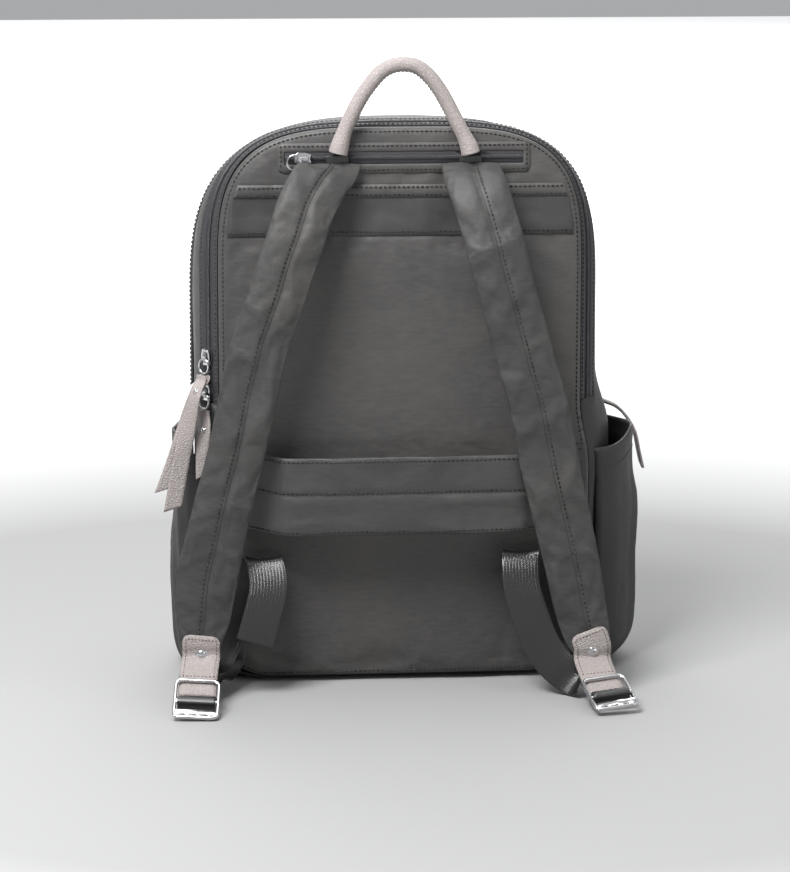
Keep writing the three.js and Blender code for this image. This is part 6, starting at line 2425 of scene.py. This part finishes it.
@dataclass
class TrolleySleeve:
    """Band of doubled cloth that bows off the panel."""

    shop: Workshop
    panel: HarnessPanel
    bottom: float = 109.5
    height: float = 53.0
    stand_off: float = 33.5
    thickness: float = 2.4
    flat_half: float = 77.0
    end_inset: float = 3.5

    def line(self) -> Array:
        """The band's line seen from above."""
        end = OUTLINE.half_width(0.0, self.bottom + self.height / 2, self.end_inset)
        back = FACE_Y - 0.35 - self.thickness
        right = [
            (mix(self.flat_half, end, x), back - out * self.stand_off)
            for x, out in ((1, 0), (0.84, 0), (0.66, 0.1), (0.4, 0.5), (0.18, 0.86), (0, 1.0))
        ]
        right += [(x * self.flat_half, back - out * self.stand_off) for x, out in
                  ((0.75, 1.012), (0.45, 1.02), (0.2, 1.028), (0, 1.03))]
        return evenly(catmull(mirrored(np.array(right)), 160), 150)

    def build(self) -> None:
        """Make the band and sew it."""
        line = self.line()
        share = np.array([0, 0.02, 0.05, *np.linspace(0.1, 0.46, 9), 0.5, 0.525, 0.55,
                          *np.linspace(0.6, 0.9, 8), 0.95, 0.98, 1.0])
        front = np.zeros((len(share), len(line), 3))
        for i, s in enumerate(share):
            z = self.bottom + s * self.height
            turned = 0.9 * min(s, 1 - s, 0.03) / 0.03 - 0.9
            seam = -0.8 * math.exp(-(((s - 0.525) * self.height / 1.6) ** 2))
            for j, (x, y) in enumerate(line):
                loose = float(ease((125.0 - abs(x)) / 30.0))
                soft = loose * (1.3 * ripple((x, 0, 1.6 * z), 40.0, 6.6)
                                + 0.9 * crease((0.6 * x, 0, 2 * z), 45.0, 3.3))
                rise = loose * 0.7 * ripple((x, 7, 0), 70.0, 8.8)
                depth = y - (turned + seam + soft)
                limit = self.panel.skin.face_y(x, z, y) - 0.4 - self.thickness
                front[i, j] = (x, min(depth, limit) if abs(x) > 90 else depth, z + rise)
        normals = turned_to(grid_normals(front), (10, 75), (0, -1, 0))
        soup = Soup()
        add_sheet(soup, front, front - normals * self.thickness)
        band = soup.piece("sleeve_band", self.shop.finishes.sleeve)
        finish(band, Slot.PANEL, "trolley_sleeve")
        rows = []
        for s in (0.045, 0.545, 0.955):
            i = int(np.argmin(np.abs(share - s)))
            rows.append(Line(front[i, 2:-2], normals[i, 2:-2]).moved(0.15))
        self.shop.sew("sleeve_stitches", rows, Slot.PANEL)


@dataclass
class SidePocket:
    """Open pocket of soft cloth with a turned lip."""

    shop: Workshop
    side: Side
    bulge: float
    lip: float = 166.0
    wall: float = 1.6
    front_depth: float = 13.0
    rear_depth: float = 106.6
    floor: float = 1.2
    front_drop: float = 9.0

    def build(self) -> None:
        """Make the pocket and sew its lip."""
        sign, seam = self.side.value, 1.4 + self.wall
        profile = np.array(
            [(0.0, 0.0), (0.018, 0.47), (0.045, 0.68), (0.08, 0.83), (0.125, 0.94), (0.19, 1.0),
             (0.4, 1.06), (0.62, 1.03), (0.82, 0.95), (1.0, 0.86)]
        )
        profile = evenly(catmull(profile * (self.lip, 40.0), 90), 64) / (self.lip, 40.0)
        shares = np.linspace(0, 1, 57)
        front = np.zeros((len(profile), len(shares), 3))
        for i, (rise, reach) in enumerate(profile):
            z = max(self.floor, rise * self.lip)
            for j, share in enumerate(shares):
                depth = mix(self.front_depth, self.rear_depth, share)
                lowest = OUTLINE.section(depth).foot + self.floor + self.wall
                body = OUTLINE.half_width(depth, max(z, lowest)) + seam
                outer = OUTLINE.half + seam + reach * self.bulge
                swell = math.sin(math.pi * share) ** 0.72
                x = body + max(outer - body, 0) * swell
                calm = swell * float(ease(rise / 0.08)) * (1 - 0.6 * float(ease((rise - 0.8) / 0.2)))
                fold = crease((0, depth, 0.35 * z), 30.0, 11.0 + sign) - 0.5
                x += calm * (2.8 * fold - 1.6 + 1.5 * ripple((0, depth, z), 42.0, 6.0 + sign))
                upper = float(ease((rise - 0.6) / 0.4))
                dip = 3.0 * swell * upper * ripple((0, depth, 0), 45.0, 2.0)
                dip -= self.front_drop * upper * (1 - float(ease(share / 0.4)))
                front[i, j] = (sign * x, FACE_Y + depth, z + dip)
        normals = turned_to(grid_normals(front), (30, 28), (sign, 0, 0))
        lip_rows = np.clip((np.arange(len(front)) - (len(front) - 5)) / 1.5, 0, 1)[:, None, None]
        front = front + normals * 0.6 * lip_rows
        soup = Soup()
        add_sheet(soup, front, front - normals * self.wall)
        name = self.side.word
        piece = soup.piece(f"pocket_cloth_{name}", self.shop.finishes.shell)
        finish(piece, Slot.SHELL, f"side_pocket_{name}")
        row = Line(front[-6, 1:-1], normals[-6, 1:-1]).moved(0.1)
        self.shop.sew(f"pocket_rows_{name}", [row], Slot.SHELL, radius=0.3)


@dataclass
class TopHandle:
    """Rolled leather handle and the loops that hold its feet."""

    shop: Workshop
    span: float = 89.0
    rise: float = 59.0
    radius: float = 4.8
    foot: float = 362.0
    offset: float = 1.6
    y: float = -73.15

    def arch(self) -> Array:
        """Rows of x, z and radius along the handle."""
        table = np.array(
            [(-1.0, 0.0, 1.28), (-0.965, 0.1, 1.2), (-0.9, 0.25, 1.0), (-0.82, 0.39, 1.0),
             (-0.7, 0.57, 1.0), (-0.55, 0.745, 1.0), (-0.36, 0.91, 1.0), (-0.18, 0.985, 1.0),
             (0.0, 1.0, 1.0), (0.177, 0.975, 1.0), (0.356, 0.875, 1.0), (0.536, 0.7, 1.0),
             (0.67, 0.52, 1.0), (0.79, 0.345, 1.0), (0.89, 0.2, 1.0), (0.965, 0.08, 1.2),
             (1.0, -0.01, 1.28)]
        )
        rows = catmull(table, 110)
        return rows * (self.span / 2, self.rise, self.radius) + (self.offset, self.foot, 0)

    def build(self) -> None:
        """Make the handle, its seam and the loops."""
        rows = evenly(self.arch(), 110)
        spine = np.stack([rows[:, 0], np.full(len(rows), self.y), rows[:, 1]], axis=1)
        across = np.tile((0.0, 1.0, 0.0), (len(rows), 1))
        base = round_section(28, 1.0)
        angle = np.arctan2(base[:, 1], base[:, 0])
        ridge = 1 + 0.1 * np.exp(-(((np.abs(angle + math.pi / 2)) / 0.2) ** 2))
        wave = np.array([1 + 0.02 * ripple(p, 26.0, 5.0) for p in spine])
        sections = base[None] * (rows[:, 2] * wave)[:, None, None] * ridge[None, :, None]
        rings, _, out = rings_along(spine, across, sections)
        soup = Soup()
        add_sweep(soup, rings)
        grip = soup.piece("handle_grip", self.shop.finishes.leather)
        bevel(grip, 0.8, 3)
        finish(grip, Slot.LEATHER, "top_handle")
        under = Line(spine, -out).moved(self.radius)
        skin = Skin(grip)
        points, normals = skin.lay(under.points[6:-6])
        self.shop.sew(
            "handle_stitches", [Line(points, normals).moved(0.05)], Slot.LEATHER, spacing=2.6,
            length=1.8, radius=0.28, pale=True,
        )
        for side in Side:
            self.build_loop(side)

    def build_loop(self, side: Side) -> None:
        """Make the black loop under one foot of the handle."""
        name = side.word
        x = side.value * self.span / 2 + self.offset
        top = self.foot - 1.6 - (0.6 if side is Side.RIGHT else 0.0)
        seat = Seat(
            np.array([x, FACE_Y - 1.9, top - 3.0]), np.array([1.0, 0, 0]), np.array([0.0, 0, 1.0]),
            np.array([0.0, -1.0, 0.0]),
        )
        soup = Soup()
        add_plate(soup, seat, rounded(7.5, 3.0, 1.6), 0.0, 2.4)
        piece = soup.piece(f"foot_loop_{name}", self.shop.finishes.webbing, smooth=False)
        bevel(piece, 0.5)
        finish(piece, Slot.WEBBING, f"handle_loop_{name}")


# The studio.


@dataclass(frozen=True)
class Lamp:
    """A square soft light."""

    name: str
    place: tuple[float, float, float]
    power: float
    size: float
    aim: tuple[float, float, float] = (0.0, 0.0, 0.2)


LAMPS = (
    Lamp("key", (-0.5, -0.8, 1.3), 38.0, 0.6),
    Lamp("fill", (1.8, -1.3, 0.9), 7.0, 1.0),
    Lamp("top", (0.0, 0.15, 1.7), 9.0, 0.9),
    Lamp("backdrop", (0.0, 4.4, 2.4), 260.0, 4.0, aim=(0.0, 4.2, 0.2)),
)


@dataclass
class Studio:
    """Camera, floor and soft lights."""

    azimuth: float = math.radians(-5.0)
    elevation: float = math.radians(10.5)
    distance: float = 2.2
    target: tuple[float, float, float] = (-0.004, -0.065, 0.170)
    lens: float = 134.4

    def build(self) -> None:
        """Set the scene up."""
        self.build_camera()
        self.build_floor()
        self.build_lights()

    def build_camera(self) -> None:
        """Place the camera at the photograph's viewing angle."""
        a, e = self.azimuth, self.elevation
        back = Vector((math.sin(a) * math.cos(e), -math.cos(a) * math.cos(e), math.sin(e)))
        data = bpy.data.cameras.new("camera")
        data.lens = self.lens
        data.sensor_width = 36.0
        camera = bpy.data.objects.new("camera", data)
        camera.location = Vector(self.target) + back * self.distance
        camera.rotation_euler = back.to_track_quat("Z", "Y").to_euler()
        bpy.context.scene.collection.objects.link(camera)
        bpy.context.scene.camera = camera

    def build_floor(self) -> None:
        """Lay a plain floor, grey round the bag and pale further off."""
        mesh = bpy.data.meshes.new("floor")
        reach = 8.0
        mesh.from_pydata(
            [(-reach, -reach, 0), (reach, -reach, 0), (reach, reach, 0), (-reach, reach, 0)],
            [], [(0, 1, 2, 3)],
        )
        material = bpy.data.materials.new("pale floor")
        material.use_nodes = True
        shader = material.node_tree.nodes["Principled BSDF"]
        nodes = Nodes(material.node_tree)
        place = nodes.add("ShaderNodeTexCoord")
        away = nodes.add("ShaderNodeVectorMath")
        away.operation = "LENGTH"
        nodes.join(place.outputs["Object"], away.inputs[0])
        near, far, grey, pale = 0.5, 1.3, 0.27, 0.9
        paleness = nodes.remap(away.outputs["Value"], near, far, grey, pale)
        nodes.join(paleness, shader.inputs["Base Color"])
        shader.inputs["Roughness"].default_value = 0.9
        mesh.materials.append(material)
        link("floor", mesh)

    def build_lights(self) -> None:
        """Hang soft lights round the bag."""
        world = bpy.data.worlds.new("studio")
        world.use_nodes = True
        backdrop = world.node_tree.nodes["Background"]
        backdrop.inputs[0].default_value = (0.95, 0.96, 0.98, 1.0)
        nodes = Nodes(world.node_tree)
        direction = nodes.add("ShaderNodeTexCoord")
        split = nodes.add("ShaderNodeSeparateXYZ")
        nodes.join(direction.outputs["Generated"], split.inputs[0])
        nodes.join(nodes.remap(split.outputs[2], -0.1, 0.8, 0.4, 0.7), backdrop.inputs[1])
        bpy.context.scene.world = world
        bpy.context.scene.view_settings.view_transform = "Standard"
        for lamp in LAMPS:
            light = bpy.data.lights.new(lamp.name, "AREA")
            light.energy = lamp.power
            light.size = lamp.size
            body = bpy.data.objects.new(lamp.name, light)
            body.location = lamp.place
            back = Vector(lamp.place) - Vector(lamp.aim)
            body.rotation_euler = back.to_track_quat("Z", "Y").to_euler()
            bpy.context.scene.collection.objects.link(body)


def main() -> None:
    """Build the studio and every sub-assembly of the bag."""
    logging.basicConfig(level=logging.INFO, format="%(name)s %(message)s")
    Studio().build()
    shop = Workshop()
    fittings = Fittings(shop)
    panel = HarnessPanel(shop)
    assemblies = [
        panel,
        Shell(shop),
        Zippers(shop),
        TrolleySleeve(shop, panel),
        StrapPad(shop, Side.LEFT),
        StrapPad(shop, Side.RIGHT),
        StrapEnd(shop, fittings, Side.LEFT),
        StrapEnd(shop, fittings, Side.RIGHT),
        Pullers(shop, fittings),
        SidePocket(shop, Side.LEFT, 14.0),
        SidePocket(shop, Side.RIGHT, 30.0),
        TopHandle(shop),
    ]
    for assembly in assemblies:
        assembly.build()
        LOG.info("built %s", type(assembly).__name__)


if __name__ == "__main__":
    main()
